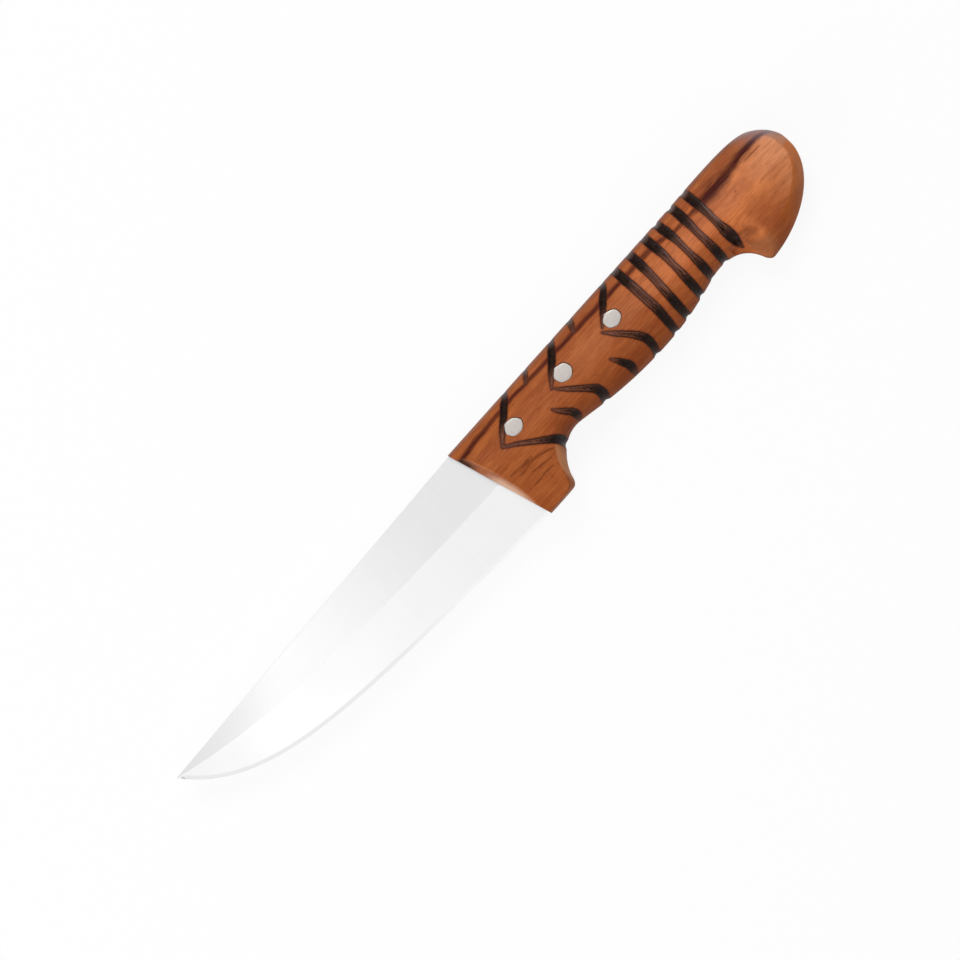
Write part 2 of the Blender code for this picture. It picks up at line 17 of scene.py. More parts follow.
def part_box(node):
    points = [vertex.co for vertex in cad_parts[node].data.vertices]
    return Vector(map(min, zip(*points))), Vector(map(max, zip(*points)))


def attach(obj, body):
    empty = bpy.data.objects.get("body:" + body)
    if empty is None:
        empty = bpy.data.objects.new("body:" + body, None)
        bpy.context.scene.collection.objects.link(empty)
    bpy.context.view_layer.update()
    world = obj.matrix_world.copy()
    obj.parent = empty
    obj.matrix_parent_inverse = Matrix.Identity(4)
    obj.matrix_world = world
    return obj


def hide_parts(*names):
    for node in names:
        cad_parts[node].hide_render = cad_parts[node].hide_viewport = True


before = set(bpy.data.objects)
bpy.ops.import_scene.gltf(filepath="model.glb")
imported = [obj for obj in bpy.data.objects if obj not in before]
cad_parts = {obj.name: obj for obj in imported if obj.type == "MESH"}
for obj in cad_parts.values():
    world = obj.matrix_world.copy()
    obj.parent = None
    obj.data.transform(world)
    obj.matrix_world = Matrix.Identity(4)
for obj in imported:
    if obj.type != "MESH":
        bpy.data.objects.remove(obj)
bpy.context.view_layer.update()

# %% [markdown]
# ## The drawing's own axes
# Knife makers measure from the handle's front corner on the spine, so the outlines below are written in
# millimetres from that corner, +X to the butt and +Y to the spine.  The frame puts its origin under
# the middle of the knife.  The handle's box tells how far the two differ.

# %% Drawing to frame
MM = 0.001
BUTT_END = 134.18
GUARD_FOOT = 33.6
HALF = 9.0
handle_low, handle_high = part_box("handle")
SHIFT = np.array([handle_high.x / MM - BUTT_END, handle_low.y / MM + GUARD_FOOT, handle_low.z / MM + HALF])


def to_frame(points):
    """Points in millimetres from the handle's front corner, as metres in the frame."""
    return (np.asarray(points, float) + SHIFT) * MM


print("shift in mm", SHIFT.round(3))

# %% [markdown]
# ## Outlines as curves
# The handle's outline has a few points where a carver would mark them: the guard's two corners, the two
# narrow places of the grip, the swell, the beak and the butt.  A cubic curve joins each pair of points,
# and each point says in which direction the curve passes and how far it keeps that direction.

# %% Curves through marked points


def heading(degrees):
    angle = math.radians(degrees)
    return np.array([math.cos(angle), math.sin(angle)])


def cubic(start, ahead, back, end, t):
    """A cubic curve that leaves its start towards one point and reaches its end from the other."""
    return (1 - t) ** 3 * start + 3 * (1 - t) ** 2 * t * ahead + 3 * (1 - t) * t ** 2 * back + t ** 3 * end


def chain(*knots, steps=60):
    """Knots are (x, y, heading in degrees, reach back, reach ahead); returns the curve's x and y."""
    t = np.linspace(0, 1, steps)[:, None]
    pieces = []
    for a, b in zip(knots[:-1], knots[1:]):
        start, end = np.array(a[:2], float), np.array(b[:2], float)
        pieces.append(cubic(start, start + a[4] * heading(a[2]), end - b[3] * heading(b[2]), end, t))
    return np.vstack(pieces).T


FRONT_RUN, GUARD_REAR, FRONT_GRIP, SWELL, REAR_GRIP, BEAK, BUTT = 7.943, 19.9, 31.6, 66.0, 93.5, 106.5, 134.4
BUTT_Y = -11.3
TOP = chain((0, 0, 0.42, 0, 30), (92, 0.6, 0.3, 30, 6), (111, 0.95, 0, 7, 8), (128, -1.3, -32, 3.5, 4),
            (BUTT, BUTT_Y, -90, 4.5, 0))
BOTTOM = chain((FRONT_RUN, -33.6, 0.5, 0, 3), (17.5, -33.45, 3, 3, 1.35), (GUARD_REAR, -31.0, 75, 1.35, 3),
               (FRONT_GRIP, -21.7, 0, 6.4, 4), (SWELL, -25.5, 0, 20, 15), (REAR_GRIP, -22.0, 0, 5, 6),
               (104.5, -29.4, -72, 5, 1), (BEAK, -31.55, 3, 0.8, 13), (BUTT, BUTT_Y, 90, 11.8, 0))
print("outline points", TOP.shape[1] + BOTTOM.shape[1])

# %% [markdown]
# ## The handle's section
# Cut across, the handle has a slightly crowned side, a small rounding at the spine and a much fuller one
# towards the fingers.  Around the butt the lower rounding becomes a carved slope with a visible edge.
# Each section is worked out from the two outlines and from the limits of the crowned side.

# %% Limits of the crowned side
SPINE_ARC, SIDE_ARC = 0.25, 0.6
END_CAP, CAP_LEAST, CAP_SHAPE, LEAST_ARC = 3.2, 0.08, 0.7, 0.05
SIDE_END = BUTT - END_CAP
SIDE_TOP = chain((0, -1.8, 0.42, 0, 30), (92, -1.25, 0.3, 30, 6), (111, -1.05, 0, 7, 8),
                 (125.6, -3.2, -34, 3.5, 4.5), (SIDE_END, BUTT_Y, -90, 4.5, 0))
SLOPE_EDGE = chain((108.5, -24.9, -3, 0, 12.5), (SIDE_END, BUTT_Y, 90, 7, 0))
ROUNDING_X = (FRONT_RUN, 17.2, 18.6, GUARD_REAR, 21.4, 24.6, FRONT_GRIP, 40.6, SWELL, REAR_GRIP, 104.5)
ROUNDING = (0.9, 0.9, 3.2, 4.6, 4.6, 5.0, 7.2, 9.0, 10.4, 8.9, 8.0)
BLUR, BLUR_REACH = 4.0, 12
fine_x = np.arange(FRONT_RUN, 106, 0.25)
kernel = np.exp(-0.5 * (np.arange(-BLUR_REACH, BLUR_REACH + 1) / BLUR) ** 2)
kernel /= kernel.sum()
rounding = np.pad(np.interp(fine_x, ROUNDING_X, ROUNDING), BLUR_REACH, mode="edge")
over_belly = np.interp(fine_x, *BOTTOM) + np.convolve(rounding, kernel, mode="valid")
SIDE_BOTTOM = np.hstack([np.vstack([fine_x, over_belly]), SLOPE_EDGE])
FULLNESS_X = (FRONT_RUN, GUARD_REAR, FRONT_GRIP, REAR_GRIP, 104.5, 108.5, BUTT)
FULLNESS = (1.6, 1.4, 1.75, 1.75, 1.5, 1.22, 1.22)
CREST, CROWN_RADIUS, CROWN_REACH = -9.0, 46.0, 8.5
print("widest rounding in mm", max(ROUNDING))

# %% Section formula
LEAN_END, LEAN_SHAPE = 40.0, 1.5


def chord(station):
    """Where a section meets the spine in plan; the front sections lean like the front face."""
    fade = np.clip((LEAN_END - station) / (LEAN_END - FRONT_RUN), 0, 1)
    top_x = station - FRONT_RUN * fade ** LEAN_SHAPE
    return top_x, np.interp(top_x, *TOP), np.interp(station, *BOTTOM)


def quarter(share, full):
    """Along and up a rounded corner: a circle's quarter at full 2, squarer above and flatter below."""
    angle = np.clip(share, 0, 1) * math.pi / 2
    return 1 - np.cos(angle) ** (2 / full), np.sin(angle) ** (2 / full)


def crown_drop(y):
    """How far the crowned side lies below its crest: an arc near the crest and straight beyond it."""
    away = np.abs(y - CREST)
    near = np.minimum(away, CROWN_REACH)
    return (near ** 2 / 2 + (away - near) * CROWN_REACH) / CROWN_RADIUS


def section(station, share):
    """Points of the handle's upper side, in millimetres; share is 0 at the spine and 1 at the belly."""
    station, share = np.broadcast_arrays(np.asarray(station, float), np.asarray(share, float))
    top_x, top, bottom = chord(station)
    side_top = np.minimum(top - LEAST_ARC, np.interp(np.maximum(top_x, 0), *SIDE_TOP))
    side_bottom = np.maximum(bottom + LEAST_ARC, np.interp(station, *SIDE_BOTTOM))
    middle = (side_top + side_bottom) / 2
    past = station > SIDE_END
    side_top = np.where(past, middle, np.maximum(side_top, middle))
    side_bottom = np.where(past, middle, np.minimum(side_bottom, middle))
    left = np.maximum(CAP_LEAST, 1 - (station - SIDE_END) / END_CAP)
    thick = np.where(past, left ** CAP_SHAPE, 1.0)
    along, up = quarter(share / SPINE_ARC, 2.0)
    spine_y, spine_z = top + (side_top - top) * along, thick * (HALF - crown_drop(side_top)) * up
    side_y = side_top + (side_bottom - side_top) * np.clip((share - SPINE_ARC) / (SIDE_ARC - SPINE_ARC), 0, 1)
    side_z = thick * (HALF - crown_drop(side_y))
    along, up = quarter((1 - share) / (1 - SIDE_ARC), np.interp(station, FULLNESS_X, FULLNESS))
    belly_y, belly_z = bottom + (side_bottom - bottom) * along, thick * (HALF - crown_drop(side_bottom)) * up
    y = np.where(share <= SPINE_ARC, spine_y, np.where(share <= SIDE_ARC, side_y, belly_y))
    z = np.where(share <= SPINE_ARC, spine_z, np.where(share <= SIDE_ARC, side_z, belly_z))
    x = top_x + (station - top_x) * (top - y) / (top - bottom)
    return np.stack([x, y, z], -1)


print("section at the swell", section(SWELL, np.array([0, 0.25, 0.6, 1])).round(2).tolist())

# %% [markdown]
# ## Cuts made after the shaping
# The front face is sawn square to the sides and leans back, and a lens-shaped cut breaks each of its long
# edges, crisp above and soft below.  The flank of the beak is sanded flat at a slant.  Each cut is a limit
# on the height of the surface, and the lower of two heights is taken, with their crease rounded.

# %% Cuts at the front face and the beak
LEAN = math.radians(13.3)
CUT_FALL, CUT_CRISP, CUT_SOFTER, SOFT_FROM, SOFT_OVER = 0.75, 0.08, 0.9, -12, 6
CUT_Y = (-32.0, -28.5, -24.7, -20.7, -15.7, -9.7, -5.5, -3.7, -2.8)
CUT_WIDTHS = (0.0, 0.55, 1.5, 2.2, 2.35, 2.0, 1.8, 1.5, 0.0)
FLANK_START, FLANK_TURN, FLANK_FALL = (109.4, -25.4), math.radians(-67), 0.95
FLANK_FROM, FLANK_LENGTH, FLANK_FOOT, CREASE = 99, 5.5, 1.5, 0.6


def from_front(x, y):
    """Distance behind the slanted front face."""
    return x * math.cos(LEAN) + y * math.sin(LEAN)


def lower_of(a, b):
    """The lower of two heights, with the crease between them rounded."""
    gap = np.clip(1 - np.abs(a - b) / CREASE, 0, 1)
    return np.minimum(a, b) - 0.25 * CREASE * gap ** 2


def inside_cut(points):
    """How far inside the lens-shaped cut along the front a point lies, negative outside it."""
    x, y = points[..., 0], points[..., 1]
    return np.interp(y, CUT_Y, CUT_WIDTHS) - from_front(x, y)


def trimmed(points):
    """The surface after the cuts."""
    points = points.copy()
    x, y, z = points[..., 0], points[..., 1], points[..., 2]
    inside = np.maximum(inside_cut(points), 0)
    soft = CUT_CRISP + CUT_SOFTER * np.clip((SOFT_FROM - y) / SOFT_OVER, 0, 1)
    z = np.maximum(z - CUT_FALL * inside ** 2 / (inside + soft), 0)
    dx, dy = x - FLANK_START[0], y - FLANK_START[1]
    past = dx * math.sin(FLANK_TURN) - dy * math.cos(FLANK_TURN)
    behind = np.maximum(-FLANK_LENGTH - (dx * math.cos(FLANK_TURN) + dy * math.sin(FLANK_TURN)), 0)
    flank = HALF - crown_drop(y) - FLANK_FALL * past + 0.5 * behind ** 2
    cut = lower_of(z, np.maximum(flank, FLANK_FOOT))
    points[..., 2] = np.where((x > FLANK_FROM) & (z > FLANK_FOOT), cut, z)
    return points


print("front cut", max(CUT_WIDTHS), "mm wide")

# %% [markdown]
# ## The burnt grooves
# The maker burns the pattern in with a round hot iron: three arrows, two nicks over the spine, two
# leaf-shaped nicks and six rings.  A groove is a line on the surface with a width and a depth at each
# marked point, and a smooth curve joins the points.  An arrow's two arms meet in a sharp corner.

# %% The pattern's marks
OVER_SPINE, UNDER_BELLY = 3.0, -40.0
RIVET_X, RIVET_Y = (19.0, 40.1, 61.2), -8.65
FRONT_ARROW = (
    ((25.0, OVER_SPINE, 2.3, 0.45), (21.4, -2.6, 2.1, 0.6), (18.7, -4.8, 2.0, 0.6), (16.1, -6.8, 1.7, 0.55),
     (13.9, -8.8, 1.25, 0.4), (12.3, -10.2, 0.8, 0.25)),
    ((12.3, -10.2, 0.8, 0.25), (15.3, -12.2, 1.2, 0.5), (19.3, -15.4, 1.6, 0.6), (22.6, -18.2, 2.1, 0.7),
     (25.1, -20.6, 2.7, 0.75), (25.8, -22.0, 2.8, 0.65), (25.6, UNDER_BELLY, 2.6, 0.4)))
MIDDLE_ARROW = (
    ((44.9, OVER_SPINE, 2.4, 0.45), (42.6, -1.8, 2.2, 0.6), (40.6, -3.8, 2.2, 0.6), (38.2, -5.8, 1.8, 0.55),
     (36.2, -7.7, 1.3, 0.4), (34.4, -9.4, 0.6, 0.15)),
    ((35.2, -10.2, 0.6, 0.2), (36.8, -12.0, 1.3, 0.5), (39.3, -14.6, 1.7, 0.6), (41.8, -17.2, 2.2, 0.7),
     (43.3, -19.2, 2.8, 0.75), (43.6, -20.8, 3.0, 0.7), (42.6, UNDER_BELLY, 2.5, 0.4)))
REAR_ARROW = (
    ((67.0, OVER_SPINE, 2.2, 0.45), (65.6, -1.2, 2.0, 0.6), (63.3, -3.1, 2.1, 0.6), (61.1, -5.1, 1.8, 0.55),
     (59.0, -6.9, 1.2, 0.4), (57.3, -8.3, 0.6, 0.2)),
    ((56.3, -9.3, 0.7, 0.2), (58.2, -11.7, 1.5, 0.5), (60.6, -14.6, 1.8, 0.6), (62.6, -17.4, 2.3, 0.7),
     (63.7, -20.0, 2.6, 0.75), (63.7, -22.2, 2.4, 0.65), (62.5, UNDER_BELLY, 2.2, 0.4)))
NICKS = (
    ((33.6, OVER_SPINE, 1.9, 0.4), (32.4, -0.9, 1.5, 0.35), (31.3, -2.0, 1.1, 0.3), (30.4, -2.9, 0.5, 0.1)),
    ((52.9, OVER_SPINE, 2.2, 0.4), (52.0, -0.9, 1.9, 0.35), (51.4, -2.0, 1.5, 0.3), (50.8, -3.0, 0.7, 0.1)),
    ((30.1, -13.5, 0.6, 0.15), (31.0, -14.9, 1.3, 0.45), (32.4, -16.7, 1.9, 0.65), (33.8, -18.7, 2.4, 0.75),
     (34.0, -20.1, 2.3, 0.6), (33.7, -21.3, 1.4, 0.25)),
    ((52.2, -16.2, 0.6, 0.15), (53.2, -17.9, 1.5, 0.5), (54.2, -19.9, 2.2, 0.7), (54.8, -21.6, 2.6, 0.75),
     (54.7, -23.1, 2.2, 0.55), (54.4, -24.6, 1.2, 0.2)))
RING_Y = (OVER_SPINE, -1.9, -4.2, -7.2, -10.2, -13.2, -16.0, -19.0, UNDER_BELLY)
RING_WAISTS = (2.65, 2.3, 1.95, 1.75, 2.05)
RING_DEPTHS = (0.32, 0.65, 0.7, 0.6, 0.5, 0.55, 0.7, 0.75)
RING_BELLY_DEPTHS = (0.45, 0.5, 0.5, 0.15, 0.4)
RINGS = (
    (71.9, 71.9, 71.9, 72.0, 72.0, 72.0, 72.05, 71.8, 71.1),
    (78.3, 78.2, 78.2, 78.1, 77.9, 77.55, 77.3, 77.0, 76.7),
    (84.7, 84.6, 84.7, 84.85, 84.65, 84.5, 84.35, 84.15, 83.85),
    (89.95, 90.05, 90.3, 90.45, 90.3, 90.2, 90.2, 90.05, 89.75),
    (96.15, 96.45, 96.4, 96.35, 96.15, 96.1, 96.05, 95.9, 95.7))
LAST_RING = (
    (101.95, OVER_SPINE, 2.3, 0.15), (102.05, -2.0, 2.7, 0.65), (102.2, -4.6, 2.7, 0.7),
    (102.3, -7.6, 2.2, 0.6), (102.2, -10.4, 2.05, 0.5), (102.1, -13.4, 2.3, 0.6),
    (102.05, -16.2, 3.3, 0.8), (102.0, -18.8, 3.3, 0.8), (102.1, -21.0, 2.1, 0.6),
    (102.25, -22.7, 0.8, 0.15))


def ring_marks(line, waist, belly_depth):
    """One ring: wide over the spine and under the belly, narrow where the side is flat."""
    widths = (2.4, 2.7, 2.75, 0.35 * 2.75 + 0.65 * waist, waist, waist + 0.1, max(waist, 2.4) + 0.1, 2.7, 2.2)
    return tuple(zip(line, RING_Y, widths, (*RING_DEPTHS, belly_depth)))


GROOVES = [*FRONT_ARROW, *MIDDLE_ARROW, *REAR_ARROW, *NICKS, LAST_RING]
GROOVES += [ring_marks(*ring) for ring in zip(RINGS, RING_WAISTS, RING_BELLY_DEPTHS)]
print("groove lines", len(GROOVES))

# %% [markdown]
# In plan the spine and the belly are thin lines, although the grooves cross them over the whole thickness
# of the wood.  Each line is therefore laid on the surface first and then divided evenly along its real way.

# %% Marks to lines on the surface
LINE_SPACING = 0.25
PAST_OUTLINE, LEAST_WIDTH, LEAST_DEPTH = 0.4, 0.3, 0.05


def travelled(hops):
    """How far along each point lies, from the lengths of the hops between the points."""
    return np.concatenate([[0], np.cumsum(hops)])


def even_steps(travel):
    return np.linspace(0, travel[-1], int(travel[-1] / LINE_SPACING) + 2)


def smooth_line(rows):
    """A smooth curve through the marks, in even steps."""
    rows = np.asarray(rows, float)
    travel = travelled(np.linalg.norm(np.diff(rows[:, :2], axis=0), axis=1))
    slope = np.gradient(rows, travel, axis=0)
    t = even_steps(travel)
    k = np.clip(np.searchsorted(travel, t, side="right") - 1, 0, len(rows) - 2)
    step = (travel[k + 1] - travel[k])[:, None]
    u = (t[:, None] - travel[k][:, None]) / step
    return (rows[k] * (2 * u ** 3 - 3 * u ** 2 + 1) + slope[k] * step * (u ** 3 - 2 * u ** 2 + u)
            + rows[k + 1] * (3 * u ** 2 - 2 * u ** 3) + slope[k + 1] * step * (u ** 3 - u ** 2))


def find_section(x, y):
    """The stations and shares of the surface points over x and y."""
    station = x.copy()
    for _ in range(20):
        top_x, top, bottom = chord(station)
        station += x - (top_x + (station - top_x) * np.clip((top - y) / (top - bottom), 0, 1))
    shares = np.linspace(0, 1, 400)
    heights = section(station[:, None], shares[None, :])[..., 1]
    return station, np.array([np.interp(-a, -row, shares) for a, row in zip(y, heights)])


def groove_line(marks):
    """The groove's centre points on the surface, evenly spaced, with its width and depth at each."""
    marks = [list(mark) for mark in marks]
    for mark in marks:
        lowest = np.interp(mark[0], *BOTTOM) - PAST_OUTLINE
        highest = np.interp(mark[0], *TOP) + PAST_OUTLINE
        mark[1] = min(max(mark[1], lowest), highest)
    line = smooth_line(marks)
    station, share = find_section(line[:, 0], line[:, 1])
    travel = travelled(np.linalg.norm(np.diff(trimmed(section(station, share)), axis=0), axis=1))
    even = even_steps(travel)
    courses = (station, share, line[:, 2], line[:, 3])
    station, share, width, depth = (np.interp(even, travel, course) for course in courses)
    return trimmed(section(station, share)), np.maximum(width, LEAST_WIDTH), np.maximum(depth, LEAST_DEPTH)


LINES = [groove_line(marks) for marks in GROOVES]
print("points on groove lines", sum(len(line[0]) for line in LINES))

# %% [markdown]
# ## A grid rolled into a handle
# The finest way to carve is to have points everywhere.  One flat grid is rolled round the handle: its
# first direction runs from the front to the butt, its second round the section.  The grid's points are
# then pressed in along the groove lines, as the iron does, and each point keeps how burnt it is.

# %% Stations from the front to the butt
STATIONS, CAP_ROWS = 440, 8
CARVED, SPARSER = (17, 105), 0.7
dense = np.linspace(FRONT_RUN, BUTT - 0.22, 6000)
courses = (np.stack([dense, np.interp(dense, *BOTTOM)]), np.stack(chord(dense)[:2]))
pace = np.maximum(*(np.linalg.norm(np.diff(course), axis=0) for course in courses))
pace *= np.where((dense[1:] > CARVED[0]) & (dense[1:] < CARVED[1]), 1.0, SPARSER)
length = travelled(pace)
stations = np.interp(np.linspace(0, length[-1], STATIONS), length, dense)
shares = np.concatenate([np.linspace(0, SPINE_ARC, 21)[:-1], np.linspace(SPINE_ARC, SIDE_ARC, 46)[:-1],
                         np.linspace(SIDE_ARC, 1, 36)])
surface = trimmed(section(stations[:, None], shares[None, :]))
print("grid", surface.shape, "spacing in mm", round(float(length[-1] / STATIONS), 3))

# %% [markdown]
# A slight hand-made waviness goes into the surface before the carving, because no carved handle is even.
# Over the steel tang the iron meets its back and hardly sinks into the wood beside it.

# %% Waviness and normals
SANDED_OFF, WAVE_SHARE = 0.06, 0.6


def waviness(points):
    """A gentle unevenness, a tenth of a millimetre up or down at most, made of waves that cross."""
    x, y = points[..., 0], points[..., 1]
    return (0.05 * np.sin(0.21 * x + 0.4) * np.sin(0.33 * y + 1.1) + 0.035 * np.sin(0.47 * x - 0.29 * y)
            + 0.02 * np.sin(0.93 * x + 0.61 * y + 2.0))


def outward(points):
    """Unit normals of the grid, pointing out of the wood."""
    along = np.gradient(points, axis=0)
    across = np.gradient(points, axis=1)
    normal = np.cross(along, across)
    normal /= np.maximum(np.linalg.norm(normal, axis=-1, keepdims=True), 1e-9)
    flip = np.where(normal[..., 2:] < 0, -1.0, 1.0)
    return normal * flip


raised_share = np.clip(surface[..., 2] / HALF, 0, 1) ** 2
surface[..., 2] -= raised_share * (SANDED_OFF + WAVE_SHARE * waviness(surface))
normals = outward(surface)
print("waviness in mm", round(float(np.ptp(waviness(surface))), 2))

# %% Grooves pressed into the grid
RIM_REACH, NEAR_LINE, CHUNK, FLOOR_SHAPE = 2.0, 3.5, 3000, 1.2
TANG_END, OVER_TANG, BACK_SHARE, BACK_FADE = 87.5, 0.2, 0.18, 0.12


def press_grooves(points):
    """How deep each point is pressed in, its distance from the nearest rim, and the iron's heat there."""
    flat = points.reshape(-1, 3)
    deep = np.zeros(len(flat))
    heat = np.zeros(len(flat))
    rim = np.full(len(flat), RIM_REACH)
    for centres, widths, depths in LINES:
        low, high = centres.min(0) - NEAR_LINE, centres.max(0) + NEAR_LINE
        near = np.nonzero(np.all((flat >= low) & (flat <= high), axis=1))[0]
        for chunk in np.array_split(near, max(1, len(near) // CHUNK)):
            gap = np.linalg.norm(flat[chunk][:, None] - centres[None], axis=-1)
            best = np.argmin(gap - widths / 2, axis=1)
            nearest = gap[np.arange(len(chunk)), best]
            bowl = np.clip(1 - (nearest / (widths[best] / 2)) ** 2, 0, 1) ** FLOOR_SHAPE
            deep[chunk] = np.maximum(deep[chunk], depths[best] * bowl)
            gap_to_rim = nearest - widths[best] / 2
            heat[chunk] = np.where(gap_to_rim < rim[chunk], depths[best], heat[chunk])
            rim[chunk] = np.minimum(rim[chunk], gap_to_rim)
    return [field.reshape(points.shape[:2]) for field in (deep, rim, heat)]


wrap = np.broadcast_to(shares[None, :], surface.shape[:2])
deep, rim, heat = press_grooves(surface)
on_tang = np.clip((BACK_SHARE - wrap) / BACK_FADE, 0, 1) * (surface[..., 0] < TANG_END)
deep *= 1 - (1 - OVER_TANG) * on_tang
carved = surface - normals * deep[..., None]
carved[:, 0, 2] = 0.0
carved[:, -1, 2] = 0.0
print("points pressed", int((deep > 0).sum()), "of", deep.size, "deepest", round(float(deep.max()), 2))

# %% [markdown]
# The dark line along the wood is a streak of heartwood.  It is a sheet through the whole block, so it
# follows the length at nearly the same height on both sides.  Its strength is kept on the points too.

# %% Heartwood streak
STREAK = (
    (0, -3.7, 0.4), (2.7, -3.9, 0.8), (5, -3.5, 0.85), (8, -3.1, 0.75), (14, -2.95, 0.6), (25, -2.6, 0.5),
    (30, -2.8, 0.5), (44, -3.0, 0.6), (52, -3.1, 0.65), (66, -3.3, 0.6), (78, -3.4, 0.65), (84, -3.4, 0.8),
    (88, -4.1, 0.7), (92, -5.1, 0.55), (99, -5.2, 0.6), (103.5, -5.3, 1.5), (108, -5.25, 1.95),
    (112, -5.15, 1.7), (116, -4.7, 1.4), (120, -4.25, 1.1), (125, -4.15, 0.95), (129, -4.55, 0.65),
    (134, -6.5, 0.3))
FARTHEST = 4.0


def streak_at(points, marks):
    """Distance from a streak's middle in half widths, 0 in the middle and 1 at its edge."""
    x, y = points[..., 0], points[..., 1]
    mark_x, mark_y, mark_half = np.array(marks).T
    middle = np.interp(x, mark_x, mark_y) + 0.08 * np.sin(0.9 * x) * np.sin(0.17 * x)
    ended = np.maximum(mark_x[0] - x, 0) + np.maximum(x - mark_x[-1], 0)
    return np.minimum(np.hypot(y - middle, ended) / np.interp(x, mark_x, mark_half), FARTHEST)


streak = streak_at(surface, STREAK)
print("streak covers", round(float((streak < 1).mean()), 3))

# %% [markdown]
# The guard's lobe shows short dark veins, where the growth lines of the wood come to the surface, and one
# more lies under the streak near the butt.

# %% Short veins
VEINS = (
    ((119.5, -6.5, 0.15), (123, -6.35, 0.36), (127, -6.7, 0.15)),
    ((9.6, -19.5, 0.2), (11, -19.45, 0.42), (15, -19.0, 0.36), (18, -19.5, 0.4),
     (21, -20.6, 0.42), (22.5, -21.2, 0.2)),
    ((7.6, -17.6, 0.2), (10, -17.7, 0.35), (14, -18.1, 0.3), (16.5, -18.0, 0.15)),
    ((12.5, -21.4, 0.15), (16, -21.9, 0.3), (19.8, -22.6, 0.2)),
    ((10.5, -24.4, 0.15), (14, -24.2, 0.3), (18.6, -24.5, 0.2)))
vein = np.minimum.reduce([streak_at(surface, marks) for marks in VEINS])
print("veins", len(VEINS))

# %% [markdown]
# The fields kept on the points are the distance from a groove's rim, the iron's heat there, the distance
# from the streak and from a vein, how far round the section the point lies, and how far inside the cut.
# The sawn front face is the grid's first rows, drawn together to the middle plane: the cut isn't on it.

# %% Rolled grid
FIELDS = ("rim", "pressed", "streak", "vein", "wrap", "cut")
CUT_REACH, SEAL = 3, 1e-6


def rolled(points, *fields):
    """Both sides of the handle: the upper half section and its mirror image, and flat end caps."""
    under = points[:, -2:0:-1] * np.array([1, 1, -1])
    ring = np.concatenate([points, under, points[:, :1]], axis=1)
    extra = [np.concatenate([f, f[:, -2:0:-1], f[:, :1]], axis=1) for f in fields]
    drawn_in = np.cos(np.linspace(0, math.pi / 2, CAP_ROWS + 1))[1:, None, None]
    squeeze = drawn_in * np.array([0, 0, 1]) + np.array([1, 1, 0])
    front = (ring[:1] * squeeze)[::-1]
    back = ring[-1:] * squeeze
    ring = np.concatenate([front, ring, back])
    extra = [np.pad(f, ((CAP_ROWS, CAP_ROWS), (0, 0)), mode="edge") for f in extra]
    return ring, extra


def placed(name, data):
    """A new object in the scene."""
    obj = bpy.data.objects.new(name, data)
    bpy.context.scene.collection.objects.link(obj)
    return obj


def grid_object(name, points, fields):
    """A grid from the operator, moved point by point to its places, with its seams merged."""
    rows, columns = points.shape[:2]
    bm = bmesh.new()
    bmesh.ops.create_grid(bm, x_segments=columns - 1, y_segments=rows - 1, size=0.5)
    mesh = bpy.data.meshes.new(name)
    bm.to_mesh(mesh)
    bm.free()
    flat = np.zeros(len(mesh.vertices) * 3)
    mesh.vertices.foreach_get("co", flat)
    flat = flat.reshape(-1, 3)
    column = np.rint((flat[:, 0] + 0.5) * (columns - 1)).astype(int)
    row = np.rint((flat[:, 1] + 0.5) * (rows - 1)).astype(int)
    mesh.vertices.foreach_set("co", to_frame(points[row, column]).ravel())
    for field_name, values in fields.items():
        mesh.attributes.new(field_name, "FLOAT", "POINT").data.foreach_set("value", values[row, column])
    bm = bmesh.new()
    bm.from_mesh(mesh)
    bmesh.ops.remove_doubles(bm, verts=bm.verts, dist=SEAL)
    bmesh.ops.recalc_face_normals(bm, faces=bm.faces)
    bm.to_mesh(mesh)
    bm.free()
    return placed(name, mesh)


cut = np.clip(inside_cut(surface), -CUT_REACH, CUT_REACH)
ring, fields = rolled(carved, rim, heat, streak, vein, wrap, cut)
fields[FIELDS.index("cut")][:CAP_ROWS - 1] = cut.min()
handle = grid_object("carved_handle", ring, dict(zip(FIELDS, fields)))
print("handle faces", len(handle.data.polygons))

# %% [markdown]
# ## Softened edges, slot and rivet holes
# A little smoothing rounds every edge as sandpaper and varnish do.  The slot for the tang is then sawn
# from the front and the spine, and three holes are drilled.  A peened rivet fills its hole, so hole and
# rivet share one outline, which is nearly an ellipse, and differs a little from rivet to rivet.

# %% Smoothing


def linked_object(name, bm):
    """A new object from a bmesh, which is freed."""
    mesh = bpy.data.meshes.new(name)
    bm.to_mesh(mesh)
    bm.free()
    return placed(name, mesh)


def smooth_mesh(obj, rounds, factor):
    bm = bmesh.new()
    bm.from_mesh(obj.data)
    for _ in range(rounds):
        bmesh.ops.smooth_vert(bm, verts=bm.verts, factor=factor,
                              use_axis_x=True, use_axis_y=True, use_axis_z=True)
    bm.to_mesh(obj.data)
    bm.free()


def triangles(obj):
    return sum(len(p.vertices) - 2 for p in obj.data.polygons)


smooth_mesh(handle, 2, 0.5)
print("smoothed handle triangles", triangles(handle))

# %% Outlines of the tang and the rivets
TANG_HALF, SLOT_PLAY, RIVET_PLAY, OFF_MIDDLE = 1.1, 0.06, 0.09, 0.6
TANG_FRONT, TANG_REAR, TANG_ROUND, TANG_SUNK = 17.2, 15.4, 3.0, 0.1
HEEL_DIP, DIP_LENGTH, HEEL_BACK, INTO_BLADE = 0.32, 8.0, 0.52, 2.0
RIVET_LOOKS = ((2.98, 2.42, 0.4), (3.0, 2.58, 1.9), (2.92, 2.46, 3.1))


